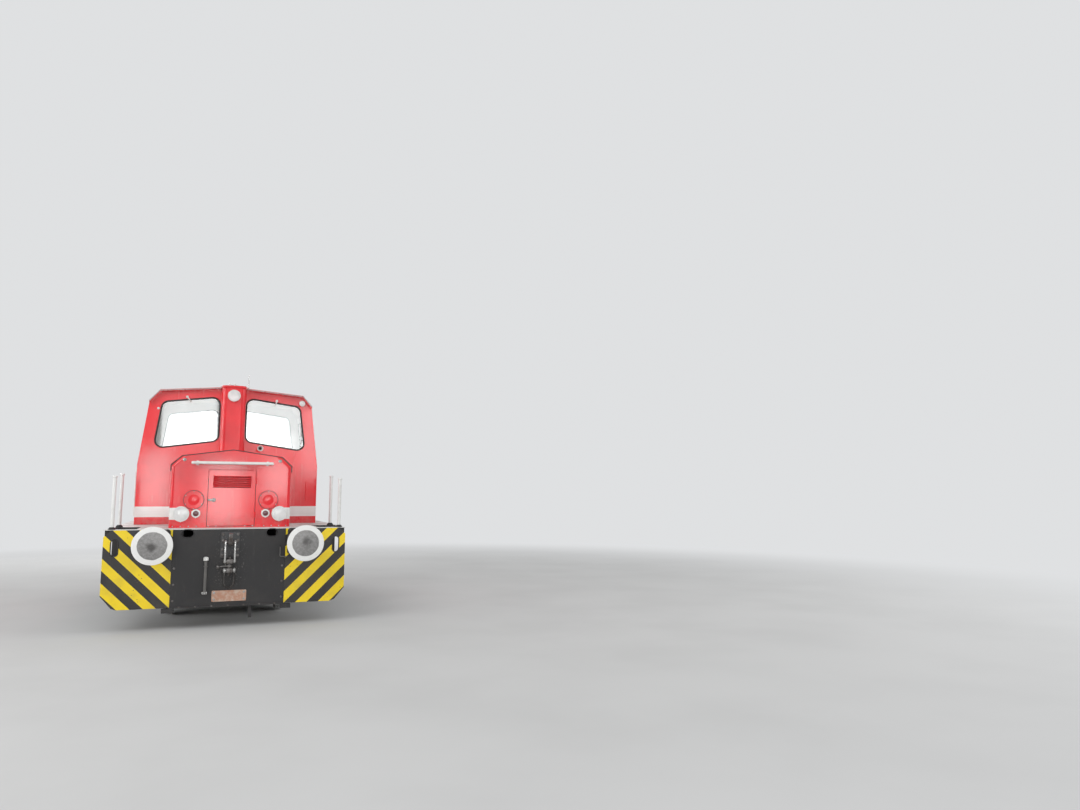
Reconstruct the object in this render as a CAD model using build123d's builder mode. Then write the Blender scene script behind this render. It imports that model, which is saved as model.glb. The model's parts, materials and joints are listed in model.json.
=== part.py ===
from build123d import *
from math import cos, radians, sin
import os

os.makedirs("parts", exist_ok=True)

# Two-axle centre-cab shunting locomotive, in millimetres.
# X runs across (+X is the right side seen from the front), Y along, Z up.
# The front faces -Y. Z = 0 is the tip of the wheel flanges.

# Rail interface
flange_depth = 28
tread_radius = 475
tyre_width = 135
back_to_back = 1360
wheelbase = 2500
axle_z = flange_depth + tread_radius

# Distances along Y from the middle of the locomotive
beam_face_y = 2850
buffer_length = 620
end_walkway = 330
cab_end_y = 970
roof_overhang = 70
buffer_face_y = beam_face_y + buffer_length
hood_end_y = beam_face_y - end_walkway

# Deck and frame
deck_top_z = 1253
deck_t = 10
deck_half_width = 1455
sill_width = 50
sill_depth = 120
rib_t = 16
frame_plate_x = 575
frame_plate_t = 30
face_plate_t = 30
back_plate_t = 25
face_plate_half = 680
bay_width = 355
bay_length = 830

# Hood
hood_half_width = 755
hood_side_top_z = 2068
hood_shoulder_x = 630
hood_shoulder_z = 2188
hood_ridge_z = 2278
hood_wall = 12
hood_corner_r = 45

# Cab
side_walkway = 179
cab_lean = 113
cab_half_width = deck_half_width - side_walkway
cab_waist_z = 2130
eave_x, eave_z = cab_half_width - cab_lean, 3050
roof_knee_x, roof_knee_z = eave_x - 3, 3078
roof_corner_x, roof_corner_z = eave_x - 143, 3238
roof_ridge_z = 3328
roof_t = 30
cab_wall = 40
cab_door_t = 30
glass_t = 6
window_r = 105

# Running gear
crank_throw = 250
crankpin_r = 45
axle_r = 85
jackshaft_r = 80
boss_face_x = 850
boss_r = 95
rod_t = 60
rod_side_gap = 12
collar_t = 15

# Clearances: parts that touch, turning pairs, and edges that swing past each other
fit = 0.3
running_gap = 0.5
swing_gap = 6

ENDS = (("front", -1), ("rear", 1))
SIDES = (("left", -1), ("right", 1))

frame_end_y = beam_face_y - face_plate_t - back_plate_t
beam_top_z = deck_top_z - deck_t
sill_low_z = beam_top_z - sill_depth
plate_outer_x = frame_plate_x + frame_plate_t / 2
plate_inner_x = frame_plate_x - frame_plate_t / 2
bay_inner_x = deck_half_width - bay_width
bay_rear_y = frame_end_y - bay_length
wheel_inner_x = back_to_back / 2
wheel_outer_x = wheel_inner_x + tyre_width
axle_y = wheelbase / 2


def save(builder, label):
    """Name a finished piece and write it to its own file."""
    builder.part.label = label
    export_step(builder.part, f"parts/{label}.step")


def section(points, y):
    """A closed outline across the locomotive, at station y."""
    with BuildSketch(Plane.XZ.offset(-y)) as face:
        with BuildLine():
            Polyline(*points, close=True)
        make_face()
    return face.sketch


def side_view(points, x):
    """A closed outline in the Y-Z plane, at x."""
    with BuildSketch(Plane.YZ.offset(x)) as face:
        with BuildLine():
            Polyline(*points, close=True)
        make_face()
    return face.sketch


def long_ring(length, radius, sides=16):
    """An upright outline with faceted round ends, length between the centres of its ends."""
    with BuildSketch() as ring:
        with Locations((0, length / 2), (0, -length / 2)):
            RegularPolygon(radius, sides)
        make_hull()
    return ring.sketch


def grown_section(stations, x, z, sides):
    """Join faceted discs, listed as (distance out along -Y, radius), into one solid about an axis."""
    with BuildPart() as body:
        for out, radius in stations:
            with BuildSketch(Plane.XZ.offset(out)):
                with Locations((x, z)):
                    RegularPolygon(radius, sides)
        loft(ruled=True)
    return body.part


def both_sides(half):
    """Close a right-hand outline, listed from the bottom up, with its mirror image."""
    return [*half, *[(-x, z) for x, z in reversed(half) if x > 0]]


def inset(points, gap):
    """Move an open run of points inwards by gap, with mitred corners."""
    lines = []
    for start, end in zip(points, points[1:]):
        run = (Vector(*end) - Vector(*start)).normalized()
        lines.append((Vector(*start) + Vector(-run.Y, run.X) * gap, run))
    moved = [lines[0][0]]
    for (start, run), (other, turn) in zip(lines, lines[1:]):
        cross = run.X * turn.Y - run.Y * turn.X
        apart = other - start
        moved.append(start + run * ((apart.X * turn.Y - apart.Y * turn.X) / cross))
    start, run = lines[-1]
    moved.append(start + run * (Vector(*points[-1]) - Vector(*points[-2])).length)
    return [(point.X, point.Y) for point in moved]


def mirrored(points):
    """A side view that is the same towards the front and the rear."""
    return [*points, *[(-y, z) for y, z in reversed(points)]]


# Frame: two plates with horn gaps for the axle boxes, joined by stretchers
axle_box_width = 270
axle_box_height = 300
horn_top_z = axle_z + axle_box_height / 2 + 60
jackshaft_hole_r = 120
stretcher_t = 24
stretcher_low_z = 560
stretcher_top_z = 960
plate_low_z = 330
outer_stretcher_y = axle_y + 650
inner_stretcher_y = axle_y - 630
horn_y = axle_y + 500

with BuildPart() as main_frame:
    plate_outline = mirrored([
        (frame_end_y, beam_top_z),
        (frame_end_y, 600),
        (horn_y + 300, 560),
        (horn_y, plate_low_z),
        (axle_y - 500, plate_low_z),
        (axle_y - 650, 420),
    ])
    for side in (-1, 1):
        extrude(side_view(plate_outline, side * frame_plate_x), amount=frame_plate_t / 2, both=True)
    stretcher_z = (stretcher_low_z + stretcher_top_z) / 2
    end_stretcher_y = frame_end_y - stretcher_t / 2
    for y in (inner_stretcher_y, outer_stretcher_y, end_stretcher_y):
        with Locations((0, -y, stretcher_z), (0, y, stretcher_z)):
            Box(2 * plate_inner_x, stretcher_t, stretcher_top_z - stretcher_low_z)
    with Locations((0, -axle_y, horn_top_z / 2), (0, axle_y, horn_top_z / 2)):
        Box(2 * plate_outer_x + 2, axle_box_width + 2 * fit, horn_top_z, mode=Mode.SUBTRACT)
    with Locations(Location((0, 0, axle_z), (0, 90, 0))):
        Cylinder(jackshaft_hole_r, 2 * plate_outer_x + 2, mode=Mode.SUBTRACT)
save(main_frame, "main_frame")

# Deck: top plate, side sills and ribs, notched at each corner for the steps
engine_half_width, engine_end_gap = 360, 190
engine_y = (cab_end_y + engine_end_gap, hood_end_y - engine_end_gap)
well_margin = 70

with BuildPart() as deck:
    with Locations((0, 0, deck_top_z - deck_t / 2)):
        Box(2 * deck_half_width, 2 * beam_face_y, deck_t)
    sill_inner_x = deck_half_width - sill_width
    for side in (-1, 1):
        with Locations((side * (deck_half_width - sill_width / 2), 0, beam_top_z - sill_depth / 2)):
            Box(sill_width, 2 * bay_rear_y, sill_depth)
        for y in (inner_stretcher_y - 200, bay_rear_y - rib_t / 2):
            rib_x = side * (plate_outer_x + sill_inner_x) / 2
            with Locations((rib_x, -y, beam_top_z - sill_depth / 2), (rib_x, y, beam_top_z - sill_depth / 2)):
                Box(sill_inner_x - plate_outer_x, rib_t, sill_depth)
        for end in (-1, 1):
            notch_x = side * (bay_inner_x + bay_width / 2)
            with Locations((notch_x, end * (frame_end_y + bay_rear_y) / 2, deck_top_z - deck_t / 2)):
                Box(bay_width, bay_length, 2 * deck_t, mode=Mode.SUBTRACT)
    with Locations((0, -sum(engine_y) / 2, deck_top_z - deck_t / 2)):
        Box(2 * (engine_half_width + well_margin), engine_y[1] - engine_y[0] + 2 * well_margin, 2 * deck_t,
            mode=Mode.SUBTRACT)
save(deck, "deck")

# Headstock beams: a face plate with a lower flange, over a full-width backing plate
beam_low_z = 268
back_plate_low_z = 880
flange_lip = 16
hand_hole_x, hand_hole_z, hand_hole_size = 510, deck_top_z - 60, (140, 90)
foot_x, foot_low_z, foot_depth = (640, 770), 215, 60
strut_x, strut_low_z, strut_size = 270, 110, (40, 20)
grip_inset, grip_z, grip_size, grip_margin = 125, 1028, (200, 76), 30

for end_name, end in ENDS:
    with BuildPart() as beam:
        face_y = end * (beam_face_y - face_plate_t / 2)
        back_y = end * (frame_end_y + back_plate_t / 2)
        with Locations((0, face_y, (beam_top_z + beam_low_z) / 2)):
            Box(2 * face_plate_half, face_plate_t, beam_top_z - beam_low_z)
        with Locations((0, back_y, (beam_top_z + back_plate_low_z) / 2)):
            Box(2 * (deck_half_width - 10), back_plate_t, beam_top_z - back_plate_low_z)
        with Locations((0, back_y, (back_plate_low_z + beam_low_z) / 2)):
            Box(2 * plate_outer_x, back_plate_t, back_plate_low_z - beam_low_z)
        with Locations((0, end * (beam_face_y + flange_lip / 2), beam_low_z + 10)):
            Box(2 * face_plate_half, flange_lip, 20)
        foot_y = end * (beam_face_y + flange_lip - foot_depth / 2)
        with Locations(*[(side * sum(foot_x) / 2, foot_y, (foot_low_z + beam_low_z) / 2) for side in (-1, 1)]):
            Box(foot_x[1] - foot_x[0], foot_depth, beam_low_z - foot_low_z)
        with Locations((strut_x, back_y, (strut_low_z + beam_low_z) / 2)):
            Box(*strut_size, beam_low_z - strut_low_z)
        grip_x = deck_half_width - grip_inset
        with BuildSketch(Plane.XZ.offset(-end * beam_face_y)):
            with Locations(*[Location((x, hand_hole_z, 0), (0, 0, 90)) for x in (-hand_hole_x, hand_hole_x)]):
                add(long_ring(hand_hole_size[0] - hand_hole_size[1], hand_hole_size[1] / 2))
            with Locations((-grip_x, grip_z), (grip_x, grip_z)):
                add(long_ring(grip_size[0] - grip_size[1], grip_size[1] / 2 + grip_margin))
        extrude(amount=2 * (face_plate_t + back_plate_t), both=True, mode=Mode.SUBTRACT)
    save(beam, f"{end_name}_beam")

# Corner plates beside each beam, with a grip slot near the outer edge
corner_gap = 2
corner_low_z = 278

with BuildPart() as corner_plates:
    corner_inner_x = face_plate_half + corner_gap
    corner_outline = [
        (corner_inner_x, beam_top_z),
        (deck_half_width - 80, beam_top_z),
        (deck_half_width, beam_top_z - 80),
        (deck_half_width, corner_low_z + 172),
        (deck_half_width - 125, corner_low_z + 22),
        (deck_half_width - 185, corner_low_z),
        (corner_inner_x, corner_low_z),
    ]
    extrude(section(corner_outline, -beam_face_y + face_plate_t), amount=face_plate_t)
    with BuildSketch(Plane.XZ.offset(beam_face_y)):
        with Locations((grip_x, grip_z)):
            add(long_ring(grip_size[0] - grip_size[1], grip_size[1] / 2))
    extrude(amount=2 * face_plate_t, both=True, mode=Mode.SUBTRACT)
    mirror(about=Plane.YZ)
    mirror(about=Plane.XZ)
save(corner_plates, "corner_plates")

# Buffers: square flange, housing, plunger and a slightly domed round head
buffer_x, buffer_z = 875, 1078
buffer_head_r, buffer_head_t = 225, 42
buffer_dome, buffer_flat_r = 17, 60
buffer_head_sides = 36
housing_r, plunger_r = 118, 92
flange_side, buffer_flange_t = 340, 20
housing_share = 0.55

with BuildPart() as buffers:
    housing_end = beam_face_y + housing_share * buffer_length
    head_back = buffer_face_y - buffer_head_t
    add(grown_section([(beam_face_y, housing_r), (housing_end, housing_r)], buffer_x, buffer_z, 28))
    add(grown_section([(beam_face_y, plunger_r), (head_back + 6, plunger_r)], buffer_x, buffer_z, 24))
    add(grown_section([
        (head_back, plunger_r),
        (head_back + 12, buffer_head_r),
        (buffer_face_y - buffer_dome, buffer_head_r),
        (buffer_face_y, buffer_flat_r),
    ], buffer_x, buffer_z, buffer_head_sides))
    with Locations((buffer_x, -beam_face_y - buffer_flange_t / 2, buffer_z)):
        Box(flange_side, buffer_flange_t, flange_side)
    mirror(about=Plane.YZ)
    mirror(about=Plane.XZ)
save(buffers, "buffers")

# Draw hooks: side profile as distance out from the beam and height over the hook's axis
hook_t = 50
hook_pin_out, hook_pin_r = 85, 20
hook_plate_width, hook_plate_height, hook_plate_t = 230, 330, 20

with BuildPart() as draw_hooks:
    hook_profile = [
        (0, -42), (150, -48), (225, -10), (248, 60), (232, 118), (196, 112),
        (186, 52), (150, 24), (112, 44), (96, 70), (0, 42),
    ]
    extrude(side_view([(-beam_face_y - out, buffer_z + up) for out, up in hook_profile], 0),
            amount=hook_t / 2, both=True)
    chamfer(draw_hooks.edges().filter_by(GeomType.LINE).group_by(Axis.Y)[0], 8)
    with Locations((0, -beam_face_y - hook_plate_t / 2, buffer_z - 35)):
        Box(hook_plate_width, hook_plate_t, hook_plate_height)
    with BuildSketch(Plane.YZ.offset(-hook_t)):
        with Locations((-beam_face_y - hook_pin_out, buffer_z)):
            RegularPolygon((hook_pin_r + running_gap) / cos(radians(15)), 12)
    extrude(amount=2 * hook_t, mode=Mode.SUBTRACT)
    mirror(about=Plane.XZ)
save(draw_hooks, "draw_hooks")

# Screw couplings hang from the hook's pin: links, trunnions, screw with its lever, and a bow
link_x, link_t, link_width = 58, 24, 52
upper_trunnion_z, lower_trunnion_z = buffer_z - 240, buffer_z - 353
trunnion_r, screw_r = 24, 19
bow_low_z, bow_bar = buffer_z - 578, 28
lever_length, lever_r, lever_knob = 150, 11, 46

with BuildPart() as screw_couplings:
    coupling_y = -beam_face_y - hook_pin_out
    pin_span = link_x + link_t
    for z, radius in ((buffer_z, hook_pin_r), (upper_trunnion_z, trunnion_r), (lower_trunnion_z, trunnion_r)):
        with BuildSketch(Plane.YZ.offset(-pin_span)):
            with Locations((coupling_y, z)):
                RegularPolygon(radius, 12)
        extrude(amount=2 * pin_span)
    for side in (-1, 1):
        with BuildSketch(Plane.YZ.offset(side * link_x)):
            with Locations((coupling_y, (buffer_z + upper_trunnion_z) / 2)):
                add(long_ring(buffer_z - upper_trunnion_z, link_width / 2, 12))
        extrude(amount=link_t / 2, both=True)
    with BuildSketch(Plane.XY.offset(lower_trunnion_z - 60)):
        with Locations((0, coupling_y)):
            RegularPolygon(screw_r, 12)
    extrude(amount=upper_trunnion_z - lower_trunnion_z + 120)
    screw_mid_z = (upper_trunnion_z + lower_trunnion_z) / 2
    with Locations(Location((-lever_length / 2, coupling_y, screw_mid_z - 8), (0, -6, 0))):
        Box(lever_length, 2 * lever_r, 2 * lever_r)
    with Locations(Location((-lever_length, coupling_y, screw_mid_z - 16), (0, -6, 0))):
        Box(lever_knob, lever_knob, lever_knob)
    bow_half = link_x + bow_bar / 2
    with BuildSketch(Plane.XZ.offset(-coupling_y)):
        with Locations((0, (lower_trunnion_z + bow_low_z + bow_half) / 2)):
            add(long_ring(lower_trunnion_z - bow_low_z - bow_half, bow_half))
            add(long_ring(lower_trunnion_z - bow_low_z - bow_half, link_x - bow_bar / 2), mode=Mode.SUBTRACT)
        with Locations((0, lower_trunnion_z + bow_half)):
            Rectangle(2 * bow_half, 2 * bow_half, mode=Mode.SUBTRACT)
    extrude(amount=bow_bar / 2, both=True)
    mirror(about=Plane.XZ)
save(screw_couplings, "screw_couplings")

# Brake pipe with its cap and cock on each beam, and a bent rest for a hose head
pipe_x, pipe_r, pipe_out = -280, 17, 40
pipe_low_z, pipe_top_z = 430, 870
rest_x, rest_z, rest_drop, rest_reach, rest_bar = 615, 1000, 120, 85, 14

with BuildPart() as brake_pipes:
    pipe_y = -beam_face_y - pipe_out
    with BuildSketch(Plane.XY.offset(pipe_low_z)):
        with Locations((pipe_x, pipe_y)):
            RegularPolygon(pipe_r, 12)
    extrude(amount=pipe_top_z - pipe_low_z)
    with BuildSketch(Plane.XY.offset(pipe_top_z - 20)):
        with Locations((pipe_x, pipe_y)):
            RegularPolygon(2 * pipe_r, 12)
    extrude(amount=50)
    with Locations((pipe_x, pipe_y, pipe_low_z + 15)):
        Box(60, 50, 50)
    for z in (pipe_low_z + 25, pipe_top_z - 90):
        with Locations((pipe_x, -beam_face_y - pipe_out / 2, z)):
            Box(30, pipe_out, 20)
    # the rest: out from the beam, down, then across towards the buffer
    with Locations((rest_x, -beam_face_y - pipe_out / 2, rest_z)):
        Box(rest_bar, pipe_out, rest_bar)
    with Locations((rest_x, pipe_y, rest_z - rest_drop / 2)):
        Box(rest_bar, rest_bar, rest_drop + rest_bar)
    with Locations((rest_x + rest_reach / 2, pipe_y, rest_z - rest_drop)):
        Box(rest_reach, rest_bar, rest_bar)
    mirror(about=Plane.XZ)
save(brake_pipes, "brake_pipes")

# Hinges: a fixed lug carries the pin, and the leaf's eye turns on it
hinge_off = 16
hinge_pin_r, hinge_eye_r = 4.5, 9
hinge_h = 40
hinge_sides = 8
hinge_ear = 26


def post(x, y, low_z, height, radius, sides=hinge_sides):
    """An upright bar with flat sides, from low_z up."""
    with BuildPart() as bar:
        with BuildSketch(Plane.XY.offset(low_z)):
            with Locations((x, y)):
                RegularPolygon(radius, sides)
        extrude(amount=height)
    return bar.part


def ear(x, y, z, reach):
    """The flat ear from a hinge axis to the sheet that carries it, reach being (dx, dy)."""
    with BuildPart() as plate:
        with Locations((x + reach[0] / 2, y + reach[1] / 2, z)):
            Box(abs(reach[0]), abs(reach[1]), hinge_h)
    return plate.part


def fixed_hinge(x, y, z, reach):
    """The lug below height z with its ear, and the pin that stands up from it."""
    with BuildPart() as half:
        add(post(x, y, z - hinge_h, hinge_h, hinge_eye_r))
        add(post(x, y, z - 1, hinge_h + 1, hinge_pin_r))
        add(ear(x, y, z - hinge_h / 2, reach))
    return half.part


def leaf_hinge(x, y, z, reach):
    """The eye above height z with its ear, bored for the pin."""
    with BuildPart() as half:
        add(post(x, y, z + running_gap, hinge_h, hinge_eye_r))
        add(ear(x, y, z + running_gap + hinge_h / 2, reach))
        add(post(x, y, z, hinge_h + 1, (hinge_pin_r + running_gap) / cos(radians(180 / hinge_sides))),
            mode=Mode.SUBTRACT)
    return half.part


# Hood shells, open to the deck below and to the cab wall behind
hood_half = [
    (hood_half_width, deck_top_z),
    (hood_half_width, hood_side_top_z),
    (hood_shoulder_x, hood_shoulder_z),
    (0, hood_ridge_z),
]
hood_slope = (hood_ridge_z - hood_shoulder_z) / hood_shoulder_x

end_door_half, end_door_z = 300, (deck_top_z + 15, hood_side_top_z - 50)
side_door_y = (cab_end_y + 90, cab_end_y + 690)
side_door_z = (deck_top_z + 77, hood_side_top_z - 88)
end_hinge_x = end_door_half
side_hinge_y = side_door_y[0]
hinge_levels = (0.2, 0.8)
end_hinge_zs = [end_door_z[0] + level * (end_door_z[1] - end_door_z[0]) for level in hinge_levels]
side_hinge_zs = [side_door_z[0] + level * (side_door_z[1] - side_door_z[0]) for level in hinge_levels]
cover_x, cover_z = hood_half_width - 290, deck_top_z + 363
cover_r, cover_rim, cover_h, cover_sides = 120, 18, 24, 32
cowl_x, cowl_length, cowl_height = (190, 560), 220, 46

for end_name, end in ENDS:
    with BuildPart() as hood:
        hood_length = hood_end_y - cab_end_y
        extrude(section(both_sides(hood_half), end * (hood_end_y + cab_end_y) / 2),
                amount=hood_length / 2, both=True)
        ends = hood.faces().filter_by(Axis.Y).sort_by(Axis.Y)
        outer_end, cab_end = (ends[0], ends[-1]) if end < 0 else (ends[-1], ends[0])
        fillet(outer_end.edges().sort_by(Axis.Z)[1:5], hood_corner_r)
        cab_end = hood.faces().filter_by(Axis.Y).sort_by(Axis.Y)[-1 if end < 0 else 0]
        offset(amount=-hood_wall, openings=[hood.faces().sort_by(Axis.Z)[0], cab_end])
        with Locations((0, end * hood_end_y, sum(end_door_z) / 2)):
            Box(2 * end_door_half, 4 * hood_wall, end_door_z[1] - end_door_z[0], mode=Mode.SUBTRACT)
        with Locations((0, end * sum(side_door_y) / 2, sum(side_door_z) / 2)):
            Box(2 * hood_half_width + 2, side_door_y[1] - side_door_y[0], side_door_z[1] - side_door_z[0],
                mode=Mode.SUBTRACT)
        with BuildSketch(Plane.XZ.offset(-end * (hood_end_y - 1))):
            with Locations((-cover_x, cover_z), (cover_x, cover_z)):
                RegularPolygon(cover_r, cover_sides)
        extrude(amount=-end * (cover_h + 1))
        with BuildSketch(Plane.XZ.offset(-end * (hood_end_y + cover_h / 2))):
            with Locations((-cover_x, cover_z), (cover_x, cover_z)):
                RegularPolygon(cover_r - cover_rim, cover_sides)
        extrude(amount=-end * cover_h, mode=Mode.SUBTRACT)
        for side in (-1, 1):
            low = [(side * x, hood_ridge_z - hood_slope * x - 4) for x in cowl_x]
            high = [(side * x, hood_ridge_z - hood_slope * x + cowl_height) for x in reversed(cowl_x)]
            extrude(section([*low, *high], end * (cab_end_y + 15 + cowl_length / 2)), amount=cowl_length / 2,
                    both=True)
        for z in end_hinge_zs:
            add(fixed_hinge(end_hinge_x, end * (hood_end_y + hinge_off), z, (hinge_ear, -end * hinge_off)))
        for side in (-1, 1):
            for z in side_hinge_zs:
                add(fixed_hinge(side * (hood_half_width + hinge_off), end * side_hinge_y, z,
                                (-side * hinge_off, -end * hinge_ear)))
    save(hood, f"{end_name}_hood")

# Hood doors: leaves set in the openings, with slatted grilles and pressed louvres
grille_half, grille_z = 237, (hood_side_top_z - 290, hood_side_top_z - 130)
slat_count, slat_depth, slat_t, slat_tilt = 6, 26, 5, 32
louvre_count, louvre_pitch, louvre_length, louvre_h = 6, 70, 400, 22
handle_out = 28

for end_name, end in ENDS:
    with BuildPart() as end_door:
        leaf_y = end * (hood_end_y - hood_wall / 2)
        leaf_height = end_door_z[1] - end_door_z[0] - 2 * swing_gap
        with Locations((0, leaf_y, sum(end_door_z) / 2)):
            Box(2 * (end_door_half - swing_gap), hood_wall, leaf_height)
        with Locations((0, leaf_y, sum(grille_z) / 2)):
            Box(2 * grille_half, 2 * hood_wall, grille_z[1] - grille_z[0], mode=Mode.SUBTRACT)
        slat_pitch = (grille_z[1] - grille_z[0]) / slat_count
        for row in range(slat_count):
            slat_z = grille_z[0] + (row + 0.5) * slat_pitch
            with Locations(Location((0, leaf_y, slat_z), (end * slat_tilt, 0, 0))):
                Box(2 * grille_half + 2, slat_depth, slat_t)
        for z in end_hinge_zs:
            add(leaf_hinge(end_hinge_x, end * (hood_end_y + hinge_off), z, (-hinge_ear, -end * hinge_off)))
        with Locations((-end_door_half + 45, end * (hood_end_y + handle_out / 2), cover_z)):
            Box(70, handle_out, 22)
    save(end_door, f"{end_name}_hood_door")
    for side_name, side in SIDES:
        with BuildPart() as side_door:
            leaf_x = side * (hood_half_width - hood_wall / 2)
            leaf_mid = end * sum(side_door_y) / 2
            leaf_length = side_door_y[1] - side_door_y[0] - 2 * swing_gap
            with Locations((leaf_x, leaf_mid, sum(side_door_z) / 2)):
                Box(hood_wall, leaf_length, side_door_z[1] - side_door_z[0] - 2 * swing_gap)
            louvre_zs = [sum(side_door_z) / 2 + (row - (louvre_count - 1) / 2) * louvre_pitch
                         for row in range(louvre_count)]
            for z in louvre_zs:
                with Locations((leaf_x, leaf_mid, z)):
                    Box(2 * hood_wall, louvre_length, louvre_h, mode=Mode.SUBTRACT)
                with Locations(Location((side * (hood_half_width + 4), leaf_mid, z + 4), (0, side * 40, 0))):
                    Box(24, louvre_length, 4)
            for z in side_hinge_zs:
                add(leaf_hinge(side * (hood_half_width + hinge_off), end * side_hinge_y, z,
                               (-side * hinge_off, end * hinge_ear)))
            with Locations((side * (hood_half_width + handle_out / 2), end * (side_door_y[1] - 60),
                            sum(side_door_z) / 2)):
                Box(handle_out, 22, 90)
        save(side_door, f"{end_name}_hood_door_{side_name}")

# Cab shell: four walls under a ridged roof
roof_outer = [
    (eave_x, eave_z),
    (roof_knee_x, roof_knee_z),
    (roof_corner_x, roof_corner_z),
    (0, roof_ridge_z),
]
roof_inner = inset(roof_outer, roof_t)
roof_inner = [(roof_inner[0][0], eave_z), *roof_inner[1:3], (0, roof_inner[3][1])]
wall_outer = [(cab_half_width, deck_top_z), (cab_half_width, cab_waist_z), (eave_x, eave_z)]
wall_inner = inset(wall_outer, cab_wall)
wall_inner = [wall_inner[0], wall_inner[1], (eave_x - cab_wall, eave_z)]
wall_inside_y = cab_end_y - cab_wall

# end window corners, from the middle of the cab outwards
front_window = [
    (190, roof_corner_z - 739),
    (190, roof_corner_z - 68),
    (roof_corner_x - 35, roof_corner_z - 172),
    (roof_corner_x + 60, roof_corner_z - 872),
]


def end_window(grow):
    """Both end windows in one sketch of the X-Z plane, grown or shrunk all round."""
    with BuildSketch() as panes:
        with BuildLine():
            Polyline(*front_window, close=True)
        make_face()
        fillet(panes.vertices(), window_r)
        if grow:
            offset(amount=grow)
        mirror(about=Plane.YZ)
    return panes.sketch


for end_name, end in ENDS:
    with BuildPart() as end_wall:
        half_wall = [*wall_outer, *roof_inner]
        extrude(section(both_sides(half_wall), end * (cab_end_y - cab_wall / 2)), amount=cab_wall / 2, both=True)
        with BuildSketch(Plane.XZ.offset(-end * cab_end_y)):
            add(end_window(0))
        extrude(amount=2 * cab_wall, both=True, mode=Mode.SUBTRACT)
    save(end_wall, f"cab_{end_name}_wall")

doorway_half, doorway_z = 330, (deck_top_z + 30, eave_z - 50)
side_window_size, side_window_r = (440, 560), 80
side_window_y = (doorway_half + wall_inside_y) / 2 + 10
side_window_z = eave_z - 380
door_hinge_zs = (deck_top_z + 247, cab_waist_z - 150)


def side_window(y, shrink):
    """One side window in the Y-Z plane, centred on y."""
    with BuildSketch() as pane:
        with Locations((y, side_window_z)):
            RectangleRounded(side_window_size[0] - 2 * shrink, side_window_size[1] - 2 * shrink, side_window_r)
    return pane.sketch


def side_pane(side, line, thickness, y):
    """A pane in the middle of a side wall or door whose outer face follows line."""
    outer, inner = (inset(line, (thickness + step * glass_t) / 2) for step in (-1, 1))
    with BuildPart() as pane:
        extrude(section([(side * x, z) for x, z in [*outer[1:], *reversed(inner[1:])]], y),
                amount=side_window_size[0], both=True)
        with BuildSketch(Plane.YZ.offset(side * (eave_x - 2 * cab_wall))):
            add(side_window(y, fit))
        extrude(amount=side * 4 * cab_wall, mode=Mode.INTERSECT)
    return pane.part


for side_name, side in SIDES:
    with BuildPart() as side_wall:
        extrude(section([(side * x, z) for x, z in [*wall_outer, *reversed(wall_inner)]], 0),
                amount=wall_inside_y, both=True)
        with Locations((side * cab_half_width, 0, sum(doorway_z) / 2)):
            Box(8 * cab_wall, 2 * doorway_half, doorway_z[1] - doorway_z[0], mode=Mode.SUBTRACT)
        with BuildSketch(Plane.YZ.offset(side * cab_half_width)):
            add(side_window(-side_window_y, 0))
            add(side_window(side_window_y, 0))
        extrude(amount=6 * cab_wall, both=True, mode=Mode.SUBTRACT)
        for z in door_hinge_zs:
            add(fixed_hinge(side * (cab_half_width + hinge_off), doorway_half, z,
                            (-side * hinge_off, hinge_ear)))
    save(side_wall, f"cab_{side_name}_wall")

    door_line = [(cab_half_width, doorway_z[0] + swing_gap), (cab_half_width, cab_waist_z), (eave_x, eave_z)]
    with BuildPart() as cab_door:
        door_inner = inset(door_line, cab_door_t)
        extrude(section([(side * x, z) for x, z in [*door_line, *reversed(door_inner)]], 0),
                amount=doorway_half - swing_gap, both=True)
        with Locations((side * cab_half_width, 0, doorway_z[1] - swing_gap + 2 * cab_wall)):
            Box(8 * cab_wall, 2 * doorway_half, 4 * cab_wall, mode=Mode.SUBTRACT)
        with BuildSketch(Plane.YZ.offset(side * cab_half_width)):
            add(side_window(0, 0))
        extrude(amount=6 * cab_wall, both=True, mode=Mode.SUBTRACT)
        for z in door_hinge_zs:
            add(leaf_hinge(side * (cab_half_width + hinge_off), doorway_half, z,
                           (-side * hinge_off, -hinge_ear)))
        with Locations((side * (cab_half_width + handle_out / 2), -doorway_half + 60, cab_waist_z - 80)):
            Box(handle_out, 110, 22)
    save(cab_door, f"cab_door_{side_name}")

    with BuildPart() as door_glass:
        add(side_pane(side, door_line, cab_door_t, 0))
    save(door_glass, f"cab_door_glass_{side_name}")

with BuildPart() as cab_glass:
    for end in (-1, 1):
        with BuildSketch(Plane.XZ.offset(-end * (cab_end_y - cab_wall / 2))):
            add(end_window(-fit))
        extrude(amount=glass_t / 2, both=True)
    for side in (-1, 1):
        for y in (-side_window_y, side_window_y):
            add(side_pane(side, wall_outer, cab_wall, y))
save(cab_glass, "cab_glass")

# Exhaust duct up the middle of the cab's front wall, and the roof notched round it
stack_half, stack_depth, stack_r = 175, 220, 80
outlet_r, outlet_depth = 60, 60

with BuildPart() as cab_roof:
    roof_ring = [*roof_outer, *[(-x, z) for x, z in reversed(roof_outer[:-1])],
                 *[(-x, z) for x, z in roof_inner[:-1]], *reversed(roof_inner)]
    extrude(section(roof_ring, 0), amount=cab_end_y + roof_overhang, both=True)
    with Locations((0, -cab_end_y - roof_overhang / 2, roof_ridge_z)):
        Box(2 * stack_half + 20, roof_overhang, 6 * roof_t, mode=Mode.SUBTRACT)
save(cab_roof, "cab_roof")

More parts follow.
